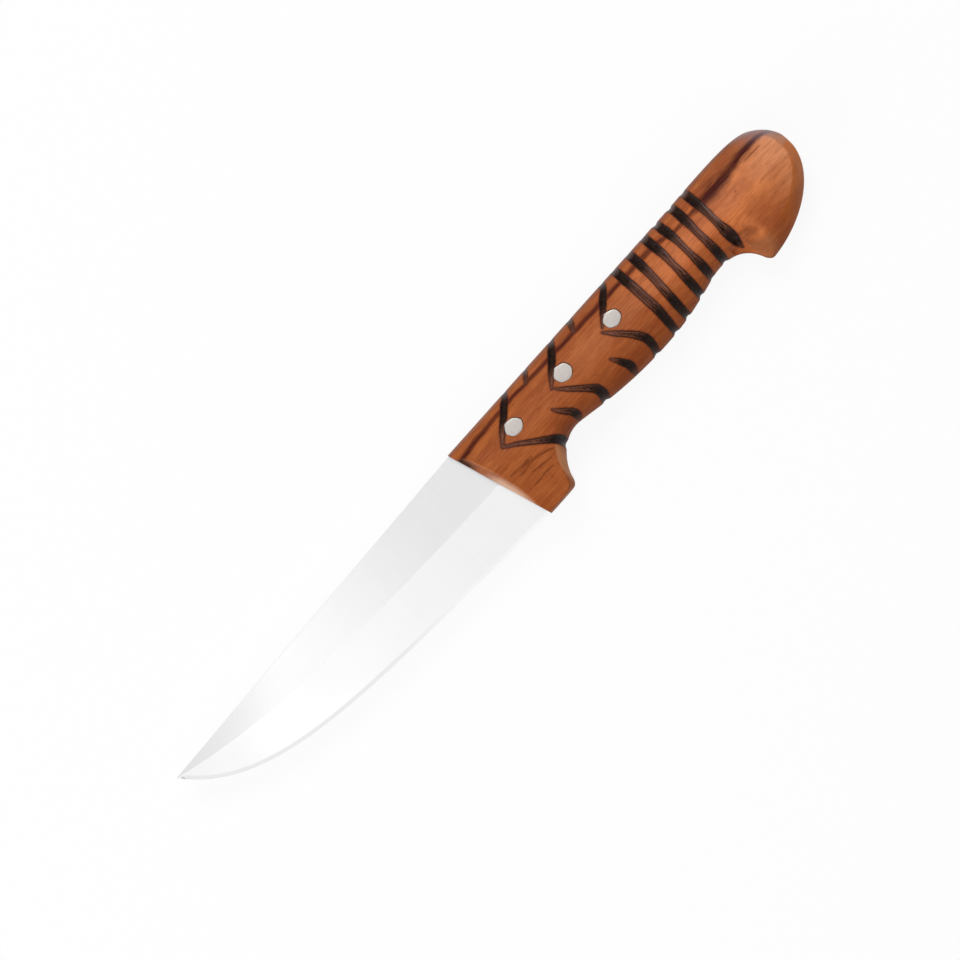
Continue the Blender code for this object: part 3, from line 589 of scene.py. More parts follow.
def tang_outline(play, above):
    """The tang in plan, or with play and height above the spine its slot."""
    x = np.linspace(0, TANG_END + play, 40)
    dip = HEEL_DIP * np.clip(1 - x / DIP_LENGTH, 0, 1)
    back = np.stack([x, np.interp(x, *TOP) - TANG_SUNK - dip + above], 1)
    angle = np.linspace(0, math.pi / 2, 9)
    end_x = TANG_END + play - TANG_ROUND + TANG_ROUND * np.cos(angle)
    end_y = -(TANG_REAR + play) + TANG_ROUND - TANG_ROUND * np.sin(angle)
    front = -INTO_BLADE - play
    end = np.stack([end_x, end_y], 1)
    return np.vstack([(front, above - HEEL_BACK), back, end, (front, -(TANG_FRONT + play))])


def rivet_outline(index, play=0.0):
    """The outline of one rivet's end in plan: an ellipse with faint flats.  The hole sits off its middle."""
    long, short, phase = RIVET_LOOKS[index]
    angle = np.linspace(0, 2 * math.pi, 72, endpoint=False)
    uneven = 1 + 0.016 * np.cos(6 * angle + phase) + 0.012 * np.cos(3 * angle + 2 * phase)
    x = (long * uneven + play) * np.cos(angle) + RIVET_X[index] + OFF_MIDDLE * play
    return np.stack([x, (short * uneven + play) * np.sin(angle) + RIVET_Y + OFF_MIDDLE * play], 1)


print("rivet ends in mm", [(2 * long, 2 * short) for long, short, _ in RIVET_LOOKS])

# %% Plates for cutting and joining


def plate(outline, half_thickness):
    """A bmesh of a flat outline made thick to both sides of the middle plane, in millimetres."""
    bm = bmesh.new()
    face = bm.faces.new([bm.verts.new((x, y, -half_thickness)) for x, y in outline])
    grown = bmesh.ops.extrude_face_region(bm, geom=[face])["geom"]
    tops = [g for g in grown if isinstance(g, bmesh.types.BMVert)]
    bmesh.ops.translate(bm, vec=(0, 0, 2 * half_thickness), verts=tops)
    bmesh.ops.recalc_face_normals(bm, faces=bm.faces)
    return bm


def into_frame(bm):
    """The same bmesh, moved from the drawing to the frame."""
    for vertex in bm.verts:
        vertex.co = to_frame(vertex.co)
    return bm


def combine(obj, outline, half_thickness, operation):
    """Cut a plate out of the object, or join one to it, and apply the result."""
    tool = linked_object("tool", into_frame(plate(outline, half_thickness)))
    mod = obj.modifiers.new("combine", "BOOLEAN")
    mod.operation, mod.solver, mod.object = operation, "MANIFOLD", tool
    graph = bpy.context.evaluated_depsgraph_get()
    mesh = bpy.data.meshes.new_from_object(obj.evaluated_get(graph))
    obj.modifiers.clear()
    obj.data = mesh
    bpy.data.objects.remove(tool)


# %% [markdown]
# A Boolean forgets the values kept on the points, so they are read before it and given back after it, from
# the nearest point that had one.

# %% Remembered values


def remember(obj, names):
    """A search tree of the object's points, and the values that they carry."""
    tree = KDTree(len(obj.data.vertices))
    for vertex in obj.data.vertices:
        tree.insert(vertex.co, vertex.index)
    tree.balance()
    kept = {}
    for name in names:
        kept[name] = np.zeros(len(obj.data.vertices), np.float32)
        obj.data.attributes[name].data.foreach_get("value", kept[name])
    return tree, kept


def give_back(obj, tree, kept):
    """Each point takes the values of the remembered point nearest to it."""
    nearest = np.array([tree.find(vertex.co)[1] for vertex in obj.data.vertices])
    for name, values in kept.items():
        if name in obj.data.attributes:
            obj.data.attributes.remove(obj.data.attributes[name])
        obj.data.attributes.new(name, "FLOAT", "POINT").data.foreach_set("value", values[nearest])


remembered = remember(handle, FIELDS)
print("points remembered", len(handle.data.vertices))

# %% Saw and drill
SAWN_ABOVE = 2.5
combine(handle, tang_outline(SLOT_PLAY, SAWN_ABOVE), TANG_HALF + SLOT_PLAY, "DIFFERENCE")
for index in range(len(RIVET_X)):
    combine(handle, rivet_outline(index, RIVET_PLAY), 2 * HALF, "DIFFERENCE")
give_back(handle, *remembered)
handle.data.shade_smooth()
handle.data.set_sharp_from_angle(angle=math.radians(50))
print("handle triangles", triangles(handle))

# %% [markdown]
# ## The blade
# A blade is ground from flat strip: the flat stays near the back, a long bevel thins the steel towards
# the edge, and a narrow second bevel makes it sharp.  The same rolled grid makes it, with columns kept
# on the grind lines so that these stay crisp.  A value on the points runs from 0 to 1 over the flat, to 2
# over the ground bevel and to 3 over the narrow one, so that the finish can tell them apart.  Towards the
# tip the steel gets thinner, and where hardly any bevel is left it runs out into a point.

# %% Blade outlines
BLADE_HALF, LENGTH, BACK_DROP, FACE_GAP = 1.2, 122.13, 0.42, 0.04
TIP = np.array([-LENGTH, -BACK_DROP - LENGTH * math.tan(math.radians(1.96))])


def at_face(depth):
    """The point just in front of the handle's front face at this depth below the corner."""
    return np.array([depth * math.tan(LEAN) - FACE_GAP, -depth])


def blade_curve(depth, rise, reach, tip_angle, tip_reach, share):
    """A curve from the handle's front face to the tip."""
    start = at_face(depth)
    ahead = start + reach * np.array([-math.cos(rise), math.sin(rise)])
    back = TIP + tip_reach * np.array([math.cos(tip_angle), -math.sin(tip_angle)])
    return cubic(start, ahead, back, TIP, share[:, None])


along = 1 - (1 - np.linspace(0, 1, 260)) ** 1.15
spine = at_face(BACK_DROP) + (TIP - at_face(BACK_DROP)) * along[:, None]
grind = blade_curve(16.6, math.radians(0.4), 60, math.radians(17), 30, along)
edge = blade_curve(33.15, math.radians(3.28), 75, math.radians(56.15), 30.1, along)
print("blade's depth at the heel in mm", round(float(spine[0, 1] - edge[0, 1]), 2))

# %% Bevels and thickness
HEEL_WIDTH, SHARP_WIDTH, WIDE_FROM, MOST_SHARP = 0.8, 1.15, 0.3, 0.6
TIP_HALF, NARROW_TIP, THIN_FROM = 0.3, 0.35, 0.6
BEVEL_HALF, STEEPEST = 0.275, 0.085
run = np.gradient(edge, axis=0)
rib = grind - edge
square_reach = np.abs(run[:, 0] * rib[:, 1] - run[:, 1] * rib[:, 0]) / np.linalg.norm(run, axis=1)
sharp_width = HEEL_WIDTH + (SHARP_WIDTH - HEEL_WIDTH) * np.clip(along / WIDE_FROM, 0, 1)
sharp_share = np.minimum(MOST_SHARP, sharp_width / np.maximum(square_reach, 0.01))
bevel = edge + rib * sharp_share[:, None]
thin = np.clip((along - THIN_FROM) / (1 - THIN_FROM), 0, 1)
half = BLADE_HALF + (TIP_HALF - BLADE_HALF) * thin ** 2
half *= np.clip(square_reach / NARROW_TIP, 0, 1)
steepest = half - STEEPEST * square_reach * (1 - sharp_share)
bevel_half = np.maximum(np.minimum(BEVEL_HALF, 0.8 * half), steepest)
print("narrow bevel in mm", round(float(sharp_width[0]), 2), "to", round(float(sharp_width[-1]), 2))

# %% Blade grid
BROKEN, EDGE_HALF = 0.12, 0.03
FACE_VALUES = (0.0, 0.0, 0.05, 1.0, 2.0, 3.0)


def between(a, b, count):
    """Points from a to b, without b."""
    return [a + (b - a) * i / count for i in range(count)]


def raised(points, height):
    """Points in plan, lifted to a height."""
    return np.column_stack([points, np.broadcast_to(height, len(points))])


flat_width = np.maximum(np.linalg.norm(grind - spine, axis=1, keepdims=True), 0.01)
broken = spine + (grind - spine) * np.minimum(0.3, BROKEN / flat_width)
corners = [raised(spine, 0 * half), raised(spine, half - np.minimum(BROKEN, 0.3 * half)),
           raised(broken, half), raised(grind, half), raised(bevel, bevel_half),
           raised(edge, np.minimum(EDGE_HALF, 0.1 * half))]
columns, values = [], []
for i, count in enumerate((3, 2, 12, 14, 3)):
    columns += between(corners[i], corners[i + 1], count)
    values += between(FACE_VALUES[i], FACE_VALUES[i + 1], count)
columns = np.stack([*columns, corners[-1]], 1)
values.append(FACE_VALUES[-1])
values = np.array(values + values[:0:-1] + values[:1])
mirrored, flattened = np.array([1, 1, -1]), np.array([1, 1, 0])
blade_grid = np.concatenate([columns, columns[:, :0:-1] * mirrored, columns[:, :1]], axis=1)
blade_grid = np.concatenate([blade_grid[:1] * flattened, blade_grid, blade_grid[-1:] * flattened])
print("blade grid", blade_grid.shape[:2])

# %% Blade with its tang
blade = grid_object("ground_blade", blade_grid, {"across": np.broadcast_to(values, blade_grid.shape[:2])})
remembered = remember(blade, ["across"])
combine(blade, tang_outline(0, 0), TANG_HALF, "UNION")
for index in range(len(RIVET_X)):
    combine(blade, rivet_outline(index, RIVET_PLAY), HALF, "DIFFERENCE")
give_back(blade, *remembered)
blade.data.shade_smooth()
blade.data.set_sharp_from_angle(angle=math.radians(1.2))
print("blade triangles", triangles(blade))

# %% [markdown]
# ## The rivets
# The rivets are soft aluminium rod.  Each end was hammered and then ground flush with the wood, so the
# ends are nearly round, each in its own way, and a fine dark line stands between metal and wood.

# %% Rivet ends
RIVET_NAMES = ("front_rivet", "middle_rivet", "rear_rivet")
RIVET_SUNK, RIM_ROUND, DOME, DOME_REACH = 0.12, 0.26, 0.07, 2.4


def make_rivet(index):
    """A solid pin with the hole's outline, its two rims rounded and its ends slightly domed."""
    top = HALF - RIVET_SUNK
    bm = plate(rivet_outline(index), top)
    rims = [e for e in bm.edges if abs(e.verts[0].co.z - e.verts[1].co.z) < 0.01]
    bmesh.ops.bevel(bm, geom=rims, offset=RIM_ROUND, segments=5, profile=0.5, affect="EDGES", material=-1)
    ends = [f for f in bm.faces if len(f.verts) > 8]
    for thickness in (0.5, 0.7):
        bmesh.ops.inset_region(bm, faces=ends, thickness=thickness, use_even_offset=True)
    for vertex in bm.verts:
        if abs(vertex.co.z) > top - 0.01:
            out = math.hypot(vertex.co.x - RIVET_X[index], vertex.co.y - RIVET_Y)
            vertex.co.z += math.copysign(DOME * max(0.0, 1 - (out / DOME_REACH) ** 2), vertex.co.z)
    bmesh.ops.recalc_face_normals(bm, faces=bm.faces)
    obj = linked_object(RIVET_NAMES[index] + "_metal", into_frame(bm))
    obj.data.shade_smooth()
    obj.data.set_sharp_from_angle(angle=math.radians(40))
    return obj


rivets = {name: make_rivet(index) for index, name in enumerate(RIVET_NAMES)}
print("rivet faces", [len(obj.data.polygons) for obj in rivets.values()])

# %% [markdown]
# ## Shader maths as expressions
# A node tree is easier to read as a formula.  The class below wraps one output socket, and the usual
# signs add the Math nodes.  The method node adds any other node, with its settings first.

# %% Sockets that calculate


def plug(tree, slot, item):
    """Link an expression to a socket, or set the socket to a plain value."""
    if isinstance(item, Value):
        tree.links.new(item.socket, slot)
    else:
        slot.default_value = item


class Value:
    """An output socket of a shader tree that takes part in expressions."""

    def __init__(self, tree, socket):
        self.tree, self.socket = tree, socket

    def math(self, operation, *others):
        made = self.tree.nodes.new("ShaderNodeMath")
        made.operation = operation
        for slot, item in zip(made.inputs, others):
            plug(self.tree, slot, item)
        return Value(self.tree, made.outputs[0])

    def __add__(self, other):
        return self.math("ADD", self, other)

    def __radd__(self, other):
        return self.math("ADD", other, self)

    def __sub__(self, other):
        return self.math("SUBTRACT", self, other)

    def __rsub__(self, other):
        return self.math("SUBTRACT", other, self)

    def __mul__(self, other):
        return self.math("MULTIPLY", self, other)

    def __rmul__(self, other):
        return self.math("MULTIPLY", other, self)

    def __truediv__(self, other):
        return self.math("DIVIDE", self, other)

    def __pow__(self, other):
        return self.math("POWER", self, other)

    def clamp(self):
        return self.math("MINIMUM", self.math("MAXIMUM", self, 0.0), 1.0)

    def step(self, start, end):
        """0 at start, 1 at end, straight between."""
        return ((self - start) / (end - start)).clamp()


# %% Node trees and finishes


class Tree:
    """A node tree to which nodes are added by type, settings and sockets."""

    def __init__(self, tree):
        self.tree = tree

    def node(self, kind, settings=None, output=0, **sockets):
        made = self.tree.nodes.new(kind)
        for key, value in (settings or {}).items():
            setattr(made, key, value)
        for key, value in sockets.items():
            slot = int(key[1:]) if key[0] == "_" else key.replace("_", " ")
            plug(self.tree, made.inputs[slot], value)
        return Value(self.tree, made.outputs[output])


class Finish(Tree):
    """One material: its tree, its shader and helpers that read like sentences."""

    def __init__(self, name):
        self.material = bpy.data.materials.new(name)
        self.material.use_nodes = True
        super().__init__(self.material.node_tree)
        self.shader = self.tree.nodes["Principled BSDF"]

    def place(self, size):
        """Object coordinates in millimetres, divided by the pattern's size along each axis."""
        here = self.node("ShaderNodeTexCoord", output=3)
        return self.node("ShaderNodeMapping", Vector=here, Scale=tuple(1 / (s * MM) for s in size))

    def noise(self, size, detail=4.0, roughness=0.55, distortion=0.0):
        return self.node("ShaderNodeTexNoise", Vector=self.place(size), Scale=1.0, Detail=detail,
                         Roughness=roughness, Distortion=distortion)

    def attribute(self, name):
        return self.node("ShaderNodeAttribute", {"attribute_name": name}, output=2)

    def drawing(self):
        """The place on the drawing in millimetres: along the handle, and up to the spine."""
        here = self.node("ShaderNodeTexCoord", output=3)
        x, y = (self.node("ShaderNodeSeparateXYZ", output=i, Vector=here) for i in range(2))
        return x / MM - float(SHIFT[0]), y / MM - float(SHIFT[1])

    def blend(self, share, a, b):
        """A colour between a and b."""
        return self.node("ShaderNodeMix", {"data_type": "RGBA"}, output=2, _0=share, _6=a, _7=b)

    def coats(self, base, *coats):
        """Colours laid over one another, each as how much of it shows, red, green and blue."""
        for share, *tone in coats:
            base = self.blend(share, base, colour(*tone))
        return base

    def bump(self, height, distance, strength, under=None):
        sockets = {"Height": height, "Distance": distance, "Strength": strength}
        if under is not None:
            sockets["Normal"] = under
        return self.node("ShaderNodeBump", **sockets)

    def wear(self, **sockets):
        """Set or link the shader's own sockets."""
        for key, value in sockets.items():
            plug(self.tree, self.shader.inputs[key.replace("_", " ")], value)
        return self.material


# %% Colours


def colour(red, green, blue):
    """A colour as the eye reads it, 0 to 255, made linear for the shader."""
    seen = (red / 255, green / 255, blue / 255)
    linear = [c / 12.92 if c <= 0.04045 else ((c + 0.055) / 1.055) ** 2.4 for c in seen]
    return (*linear, 1.0)


print("a mid orange in linear light", [round(c, 3) for c in colour(190, 110, 65)])

# %% [markdown]
# ## Varnished wood with burnt grooves
# The wood is pale and fine-grained under a red-brown stain: soft bands along the length, fine fibres,
# and the short dark flecks that give such wood its look.  The heartwood streak and the burnt grooves
# come from the values kept on the points.  Char is nearly black and shines under the varnish.

# %% Stained wood


def stained(f, x, y):
    """The stained wood, paler towards the butt, with painted shade towards the fingers, under the butt and on
    the rounded edges.
    """
    bands = f.noise((60.0, 3.6, 6.0), detail=3.0, distortion=0.5)
    clouds = f.noise((20.0, 7.0, 7.0), detail=3.0)
    fibres = f.noise((6.0, 0.42, 0.42), detail=4.0, roughness=0.65)
    streaks = f.noise((16.0, 1.1, 1.1), detail=4.0, roughness=0.6, distortion=0.4)
    mottle = f.noise((2.8, 1.1, 1.1), detail=2.0)
    wrap = f.attribute("wrap")
    uneven_y = y + (clouds - 0.5) * 5.0
    # Painted shade: the lower side of the grip and the wood under the butt are darkened as if turned from the
    # light.
    fingers = uneven_y.step(-11.5, -15.5) * x.step(19, 27) * (1.0 - x.step(101, 105))
    under_butt = uneven_y.step(-15.0, -23.0) * x.step(108.5, 111)
    over_streak = y.step(-4.4, -2.6) * (0.16 + 0.46 * x.step(20, 75) + 0.15 * x.step(100, 108))
    base = f.coats(
        colour(168, 90, 43),
        (x.step(10, 60), 177, 99, 54),
        (x.step(66, 82), 208, 117, 64),
        (x.step(103, 109), 218, 128, 74),
        (x.step(116, 131), 222, 147, 102),
        (fingers * 0.5 + under_butt * 0.54, 113, 39, 7),
        (over_streak, 130, 62, 30),
        # Painted shade on the rounded spine edge and on the outer belly rounding.
        ((1.0 - wrap.step(0.08, 0.2)) * 0.6, 88, 40, 20),
        (wrap.step(0.84, 0.96) * (0.4 - 0.3 * x.step(110, 116)), 96, 46, 24),
        (bands.step(0.42, 0.72) * 0.3, 214, 124, 64),
        ((1.0 - clouds.step(0.34, 0.54)) * 0.36, 128, 54, 22),
        (mottle.step(0.46, 0.68) * 0.22, 140, 64, 30),
        (streaks.step(0.5, 0.72) * (0.36 - 0.16 * x.step(66, 82)), 124, 54, 24),
        (fibres.step(0.5, 0.72) * 0.36, 112, 46, 20),
        ((1.0 - fibres.step(0.3, 0.46)) * 0.2, 226, 144, 88))
    return base, fibres, streaks


wood = Finish("stained_wood")
x, y = wood.drawing()
base, fibres, streaks = stained(wood, x, y)
print("nodes for the stain", len(wood.tree.nodes))

# %% Flecks, veins and heartwood


def figured(f, base, streaks, x):
    """Short dark flecks, the veins on the guard and the heartwood streak."""
    cells = f.node("ShaderNodeTexVoronoi", {"feature": "F1"}, Vector=f.place((2.2, 0.6, 0.8)), Scale=1.0)
    chosen = f.noise((4.0, 2.2, 2.0), detail=1.0)
    ragged = f.noise((3.4, 0.5, 1.5), detail=3.0, roughness=0.6) - 0.5
    fleck = (1.0 - cells.step(0.12, 0.26)) * chosen.step(0.54, 0.62)
    vein = (f.attribute("vein") + ragged * 1.6).step(1.7, 0.5)
    heart = (f.attribute("streak") + ragged * 1.1).step(1.7, 0.5)
    strong = 0.74 + 0.2 * streaks.step(0.35, 0.6) + 0.1 * x.step(98, 104)
    return f.coats(base, (fleck * 0.55, 98, 40, 20), (vein * 0.62, 92, 38, 16), (heart * strong, 70, 20, 13))


base = figured(wood, base, streaks, x)
print("nodes with the flecks", len(wood.tree.nodes))

# %% Handled places


def stain_and_sheen(f, base, x, y):
    """A dark patch and painted sheen on the front cut, painted highlights on its inner line, the flanks, the
    butt's slope and upper edge, and a dark stain.
    """
    cut, wrap = f.attribute("cut"), f.attribute("wrap")
    inside = cut.step(-0.1, 0.3)
    behind_face = from_front(x, y)
    front_cut_dark = inside * behind_face.step(2.0, 0.6) * y.step(-10.0, -6.5) * (1.0 - y.step(-3.8, -3.0))
    painted_sheen = cut.step(0.0, 1.6) * y.step(-11.0, -16.5) * (1.0 - y.step(-27.5, -32.0))
    border = cut.step(-0.35, -0.1) * (1.0 - cut.step(0.05, 0.3))
    border = border * y.step(-4.5, -7.0) * (1.0 - y.step(-13.0, -17.0))
    slope = wrap.step(0.62, 0.7)
    guard_flank = slope * x.step(18.6, 19.8) * (1.0 - x.step(22.5, 26.0)) * y.step(-19.0, -21.0)
    facet = wrap.step(0.6, 0.64) * x.step(113.0, 118.0) * (0.35 + 0.65 * y.step(-24.0, -13.0))
    butt_edge_sheen = (1.0 - wrap.step(0.04, 0.3)) * x.step(121.0, 127.0) * y.step(-12.0, -6.0)
    beak_flank = slope * x.step(103.0, 104.5) * (1.0 - x.step(109.0, 111.0))
    off_stain = ((x - 106.6) ** 2.0 + (y + 21.6) ** 2.0) ** 0.5 + 5.0 * f.noise((3.0, 3.0, 3.0), detail=3.0)
    return f.coats(
        base,
        (inside * y.step(-15.0, -10.0) * 0.4, 160, 106, 78),
        (behind_face.step(0.14, 0.05) * 0.45, 104, 50, 27),
        # Near-black at the top of the front cut, next to the blade.
        (front_cut_dark * 0.9, 40, 21, 16),
        # Painted sheen: the lower part of the front cut is lightened to beige, where it would catch a
        # reflection.
        (painted_sheen * 0.85, 226, 186, 160),
        # Painted highlight: a light line along the cut's inner boundary.
        (border * 0.25, 216, 152, 108),
        # Painted highlight: the guard's rear flank is lightened.
        (guard_flank * 0.7, 222, 152, 104),
        # Painted light: the butt's slope is lightened and warmed, most towards its top.
        (facet * 0.7, 228, 121, 38),
        # Painted highlight: a grey sheen on the butt's upper round edge.
        (butt_edge_sheen * 0.66, 188, 168, 174),
        # Painted sheen: the beak's flank is paler and less red.
        (beak_flank * 0.65, 156, 96, 62),
        (off_stain.step(5.6, 3.6) * x.step(109.4, 108.6) * 0.5, 104, 48, 28))


base = stain_and_sheen(wood, base, x, y)
print("nodes with the handled places", len(wood.tree.nodes))

# %% Burnt grooves


def burnt_in(f, base, x, y):
    """Scorched rims, black char, brown where the iron barely touched, and painted highlights on the groove
    walls.
    """
    crumble = f.noise((0.9, 0.7, 0.7), detail=3.0)
    wall_glints = f.noise((0.3, 7.0, 0.3), detail=2.0).step(0.4, 0.65)
    edge = f.attribute("rim") - 0.1 + (crumble - 0.5) * 0.35
    scorch = edge.step(0.75, 0.0)
    cool = 1.0 - f.attribute("pressed").step(0.3, 0.6)
    # Under the arrows, in front of the rings, the painted highlights on the walls reach a little further
    # down.
    highlight_band_end = (y + 1.8 * (1.0 - x.step(66.0, 69.0))).step(-14.5, -17.5)
    highlight_band = y.step(-5.0, -8.0) * (1.0 - highlight_band_end)
    # Painted highlight: lighter stripes and fine light lines on the groove walls, in a band along the side.
    wall = edge.step(-0.2, -0.4) * (1.0 - edge.step(-0.62, -0.8))
    painted_sheen = (wall * 0.3 + edge.step(-0.35, -0.6) * wall_glints * 0.5) * highlight_band
    char = f.coats(
        colour(21, 11, 8),
        (crumble.step(0.35, 0.7), 48, 29, 21),
        (cool * 0.75, 100, 56, 40),
        (painted_sheen, 152, 92, 68),
        (edge.step(-0.3, 0.05) * 0.5, 58, 29, 18))
    burnt = edge.step(0.14, -0.16)
    return f.blend(burnt, f.coats(base, (scorch * scorch * 0.6, 104, 44, 24)), char), burnt


base, burnt = burnt_in(wood, base, x, y)
print("nodes with the char", len(wood.tree.nodes))

# %% Relief and varnish


def dress(obj, material):
    """Give a piece its only material."""
    obj.data.materials.clear()
    obj.data.materials.append(material)


grain = wood.bump(fibres, 0.00005, strength=0.3)
lines = wood.noise((0.5, 0.16, 0.5), detail=3.0, roughness=0.6)
normal = wood.bump(lines * burnt, 0.00018, strength=0.7, under=grain)
roughness = 0.5 + 0.12 * (fibres - 0.5) - 0.14 * burnt
varnish = 0.06 + 0.3 * y.step(-4.5, -7.5) * (1.0 - y.step(-12.5, -14.5)) * (0.4 + 0.6 * x.step(40, 100))
varnish = varnish * (1.0 - 0.9 * x.step(129.5, 131.5))
dress(handle, wood.wear(Base_Color=base, Roughness=roughness, Normal=normal,
                        Coat_Weight=varnish, Coat_Roughness=0.26, IOR=1.12))
print("wood nodes", len(wood.tree.nodes))

# %% [markdown]
# ## Satin steel
# The blade is ground and then polished to a pale satin.  Very fine lines run across it from the back to
# the edge, too fine to see one by one, so they only vary the gloss a little.  The ground bevel came last
# off the finer wheel and is lighter than the flat, partly from that finish and partly a painted reflection.
# The narrow bevel is painted lighter near the handle, a painted highlight.

# %% Steel


def steel_finish():
    f = Finish("satin_steel")
    across, x = f.attribute("across"), f.drawing()[0]
    lines = f.noise((0.35, 26.0, 26.0), detail=3.0, roughness=0.7)
    clouds = f.noise((30.0, 18.0, 18.0), detail=2.0)
    # Partly painted reflection: the flat is darker than the ground bevel.  Painted highlight: the narrow
    # bevel is lighter near the handle.
    flat = f.blend(lines, colour(222, 222, 223), colour(229, 229, 230))
    ground = f.blend(lines, colour(240, 240, 241), colour(245, 245, 246))
    sharp = f.blend(x.step(-50.0, -25.0), colour(244, 244, 244), colour(254, 254, 254))
    tone = f.blend(across.step(0.995, 1.005), flat, ground)
    tone = f.blend(across.step(1.99, 2.01), tone, sharp)
    tone = f.coats(tone, (clouds.step(0.35, 0.7) * 0.2, 228, 228, 230))
    roughness = 0.15 + 0.05 * lines + 0.03 * (clouds - 0.5)
    normal = f.bump(lines, 0.000015, strength=0.25)
    return f.wear(Base_Color=tone, Metallic=1.0, Roughness=roughness, Normal=normal)


dress(blade, steel_finish())
print("steel nodes", len(blade.data.materials[0].node_tree.nodes))

# %% [markdown]
# ## Ground aluminium
# The rivet ends are dull from the grinding belt, with a few darker scratches.

# %% Aluminium


def aluminium_finish():
    f = Finish("ground_aluminium")
    lines = f.noise((2.4, 0.12, 2.4), detail=3.0, roughness=0.7)
    spots = f.noise((1.1, 1.1, 1.1), detail=3.0)
    tone = f.coats(colour(196, 189, 184), (lines.step(0.4, 0.7), 186, 179, 173),
                   (spots.step(0.55, 0.75) * 0.3, 172, 165, 158))
    roughness = 0.42 + 0.14 * lines
    normal = f.bump(lines, 0.00003, strength=0.3)
    return f.wear(Base_Color=tone, Metallic=1.0, Roughness=roughness, Normal=normal)


metal = aluminium_finish()
for obj in rivets.values():
    dress(obj, metal)
print("aluminium nodes", len(metal.node_tree.nodes))

# %% [markdown]
# ## Seating the pieces on the frame
# Each modelled piece stands for one CAD node and rides on the knife's single body.

# %% Ride and replace
for piece, node, slot in ((handle, "handle", "handle_wood"), (blade, "blade", "blade_steel"),
                          *((rivets[name], name, "rivet_metal") for name in rivets)):
    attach(piece, "root")
    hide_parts(node)
print("pieces", 2 + len(rivets))

# %% [markdown]
# ## Camera
# The photograph looks straight down on the knife, with the tip at the lower left.  On the blade a pixel
# is 0.29 mm.  Pixel (449, 457) lies just inside the handle's front corner, and the knife's length runs up
# to the right at 47.8 degrees.  The camera hangs far up, so that it hardly shows any perspective.

# %% Camera above the knife
PIXEL, PIXELS, TURN, HEIGHT, SENSOR = 0.29, 960, math.radians(47.8), 1500.0, 36.0
MARK, INSIDE_CORNER, BLADE_BELOW = (449.0, 457.0), 0.57, 8.0
rightward = np.array([math.cos(TURN), -math.sin(TURN)])
upward = np.array([math.sin(TURN), math.cos(TURN)])
to_middle = ((PIXELS / 2 - MARK[0]) * rightward - (PIXELS / 2 - MARK[1]) * upward) * PIXEL
look_at = to_frame([(to_middle[0], to_middle[1] - INSIDE_CORNER, HALF)])[0]
camera = placed("camera", bpy.data.cameras.new("camera"))
camera.location = (look_at[0], look_at[1], look_at[2] + HEIGHT * MM)
camera.rotation_euler = (0, 0, -TURN)
camera.data.sensor_width = SENSOR
camera.data.lens = SENSOR * (HEIGHT + BLADE_BELOW) / (PIXEL * PIXELS)
camera.data.clip_end = 10
bpy.context.scene.camera = camera
print("camera at", [round(v, 4) for v in camera.location])

# %% [markdown]
# ## Floor and light
# Polished steel shows what hangs above it, so most of the light is a wide panel over the knife.  Smaller
# panels just above it stand where the flat, the bevel, the tip and the butt mirror them.  A lamp hides
# nothing and a panel shines from its lower side only, so these shine through the wide one and the camera
# looks through them all.  Two lamps at the sides, one beyond the spine and one past the tip, bring out
# the carving.

# %% White table
SEEN_RAYS = ("Is Camera Ray", "Is Glossy Ray", "Is Transmission Ray")
DIM_GREY, PALE_GREY, WHITE = (0.5, 0.5, 0.5, 1), (0.95, 0.95, 0.95, 1), (1, 1, 1, 1)


def seen_by(tree):
    """1 for rays of the camera and of what mirrors or lets light through, 0 for rays that light a piece."""
    rays = tree.nodes.new("ShaderNodeLightPath")
    return sum((Value(tree, rays.outputs[name]) for name in SEEN_RAYS), 0.0).clamp()


def floor_finish():
    f = Finish("white_table")
    seen = seen_by(f.tree)
    f.wear(Base_Color=f.blend(seen, DIM_GREY, PALE_GREY), Roughness=0.9, IOR=1.2)
    plain = f.node("ShaderNodeEmission", Color=WHITE, Strength=1.0)
    mixed = f.node("ShaderNodeMixShader", _0=seen * 0.9, _1=Value(f.tree, f.shader.outputs[0]), _2=plain)
    plug(f.tree, f.tree.nodes["Material Output"].inputs["Surface"], mixed)
    return f.material


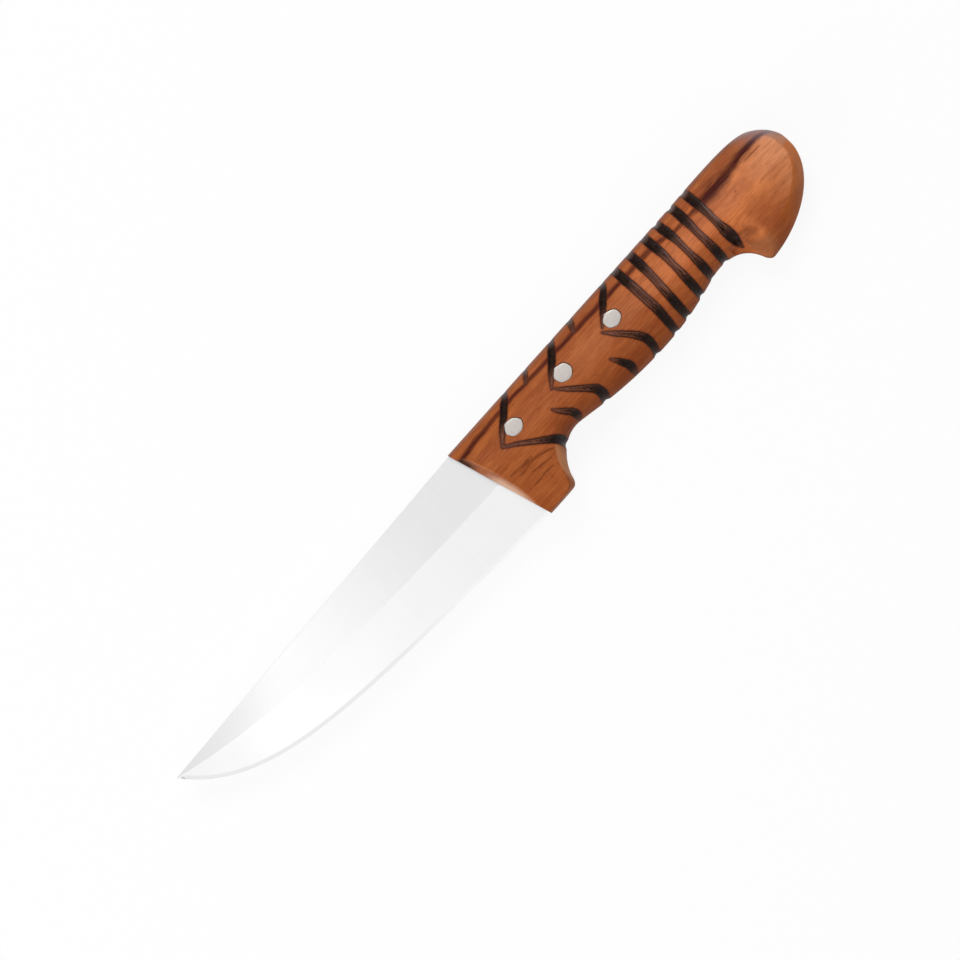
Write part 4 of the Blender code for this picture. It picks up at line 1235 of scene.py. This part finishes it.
bm = bmesh.new()
bmesh.ops.create_grid(bm, x_segments=1, y_segments=1, size=3.0)
floor = linked_object("table", bm)
dress(floor, floor_finish())
print("table", floor.name)

# %% Soft boxes


def soft_box(name, place, aim, size, watts):
    """A rectangular lamp at a place, turned to aim; size is its width along X and its depth."""
    lamp = bpy.data.lights.new(name, "AREA")
    lamp.shape = "RECTANGLE"
    lamp.size, lamp.size_y = size
    lamp.energy = watts
    obj = placed(name, lamp)
    obj.location = place
    obj.rotation_euler = (Vector(aim) - Vector(place)).to_track_quat("-Z", "Y").to_euler()


def level_watts(radiance, size):
    """The power at which a lamp of that size looks as bright as radiance times white."""
    return radiance * math.pi * size[0] * size[1]


soft_box("key", (0.3, 0.7, 1.0), (0.0, 0, 0), (0.6, 0.6), 7.0)
soft_box("tip_side", (-0.9, 0.0, 0.55), (0.0, 0, 0), (0.4, 0.4), 3.2)
for name, place, size, radiance in (("ceiling", (-0.3, -0.55, 1.3), (1.5, 1.8), 0.66),
                                    ("over_flat", (-0.15, 0.03, 1.31), (0.09, 0.2), 0.62),
                                    ("over_bevel", (-0.21, -0.2, 1.31), (0.12, 0.24), 0.2),
                                    ("over_tip", (-0.26, -0.1, 1.32), (0.32, 0.5), 0.13),
                                    ("over_butt", (0.24, -0.02, 1.31), (0.3, 0.2), 1.0)):
    soft_box(name, place, (place[0], place[1], 0), size, level_watts(radiance, size))

# %% [markdown]
# The world is a dim even white for the light that falls on the knife.  The camera, and what mirrors the
# surroundings, see it white near the horizon, like the table.

# %% World
WORLD_LEVEL = 0.28
world = bpy.data.worlds.new("studio")
world.use_nodes = True
sky = Tree(world.node_tree)
upward_part = sky.node("ShaderNodeSeparateXYZ", output=2, Vector=sky.node("ShaderNodeTexCoord", output=0))
strength = WORLD_LEVEL + seen_by(sky.tree) * upward_part.step(0.8, 0.4) * (1.0 - WORLD_LEVEL)
background = sky.tree.nodes["Background"]
plug(sky.tree, background.inputs["Color"], WHITE)
plug(sky.tree, background.inputs["Strength"], strength)
bpy.context.scene.world = world
bpy.context.scene.view_settings.view_transform = "Standard"
print("world level", WORLD_LEVEL)
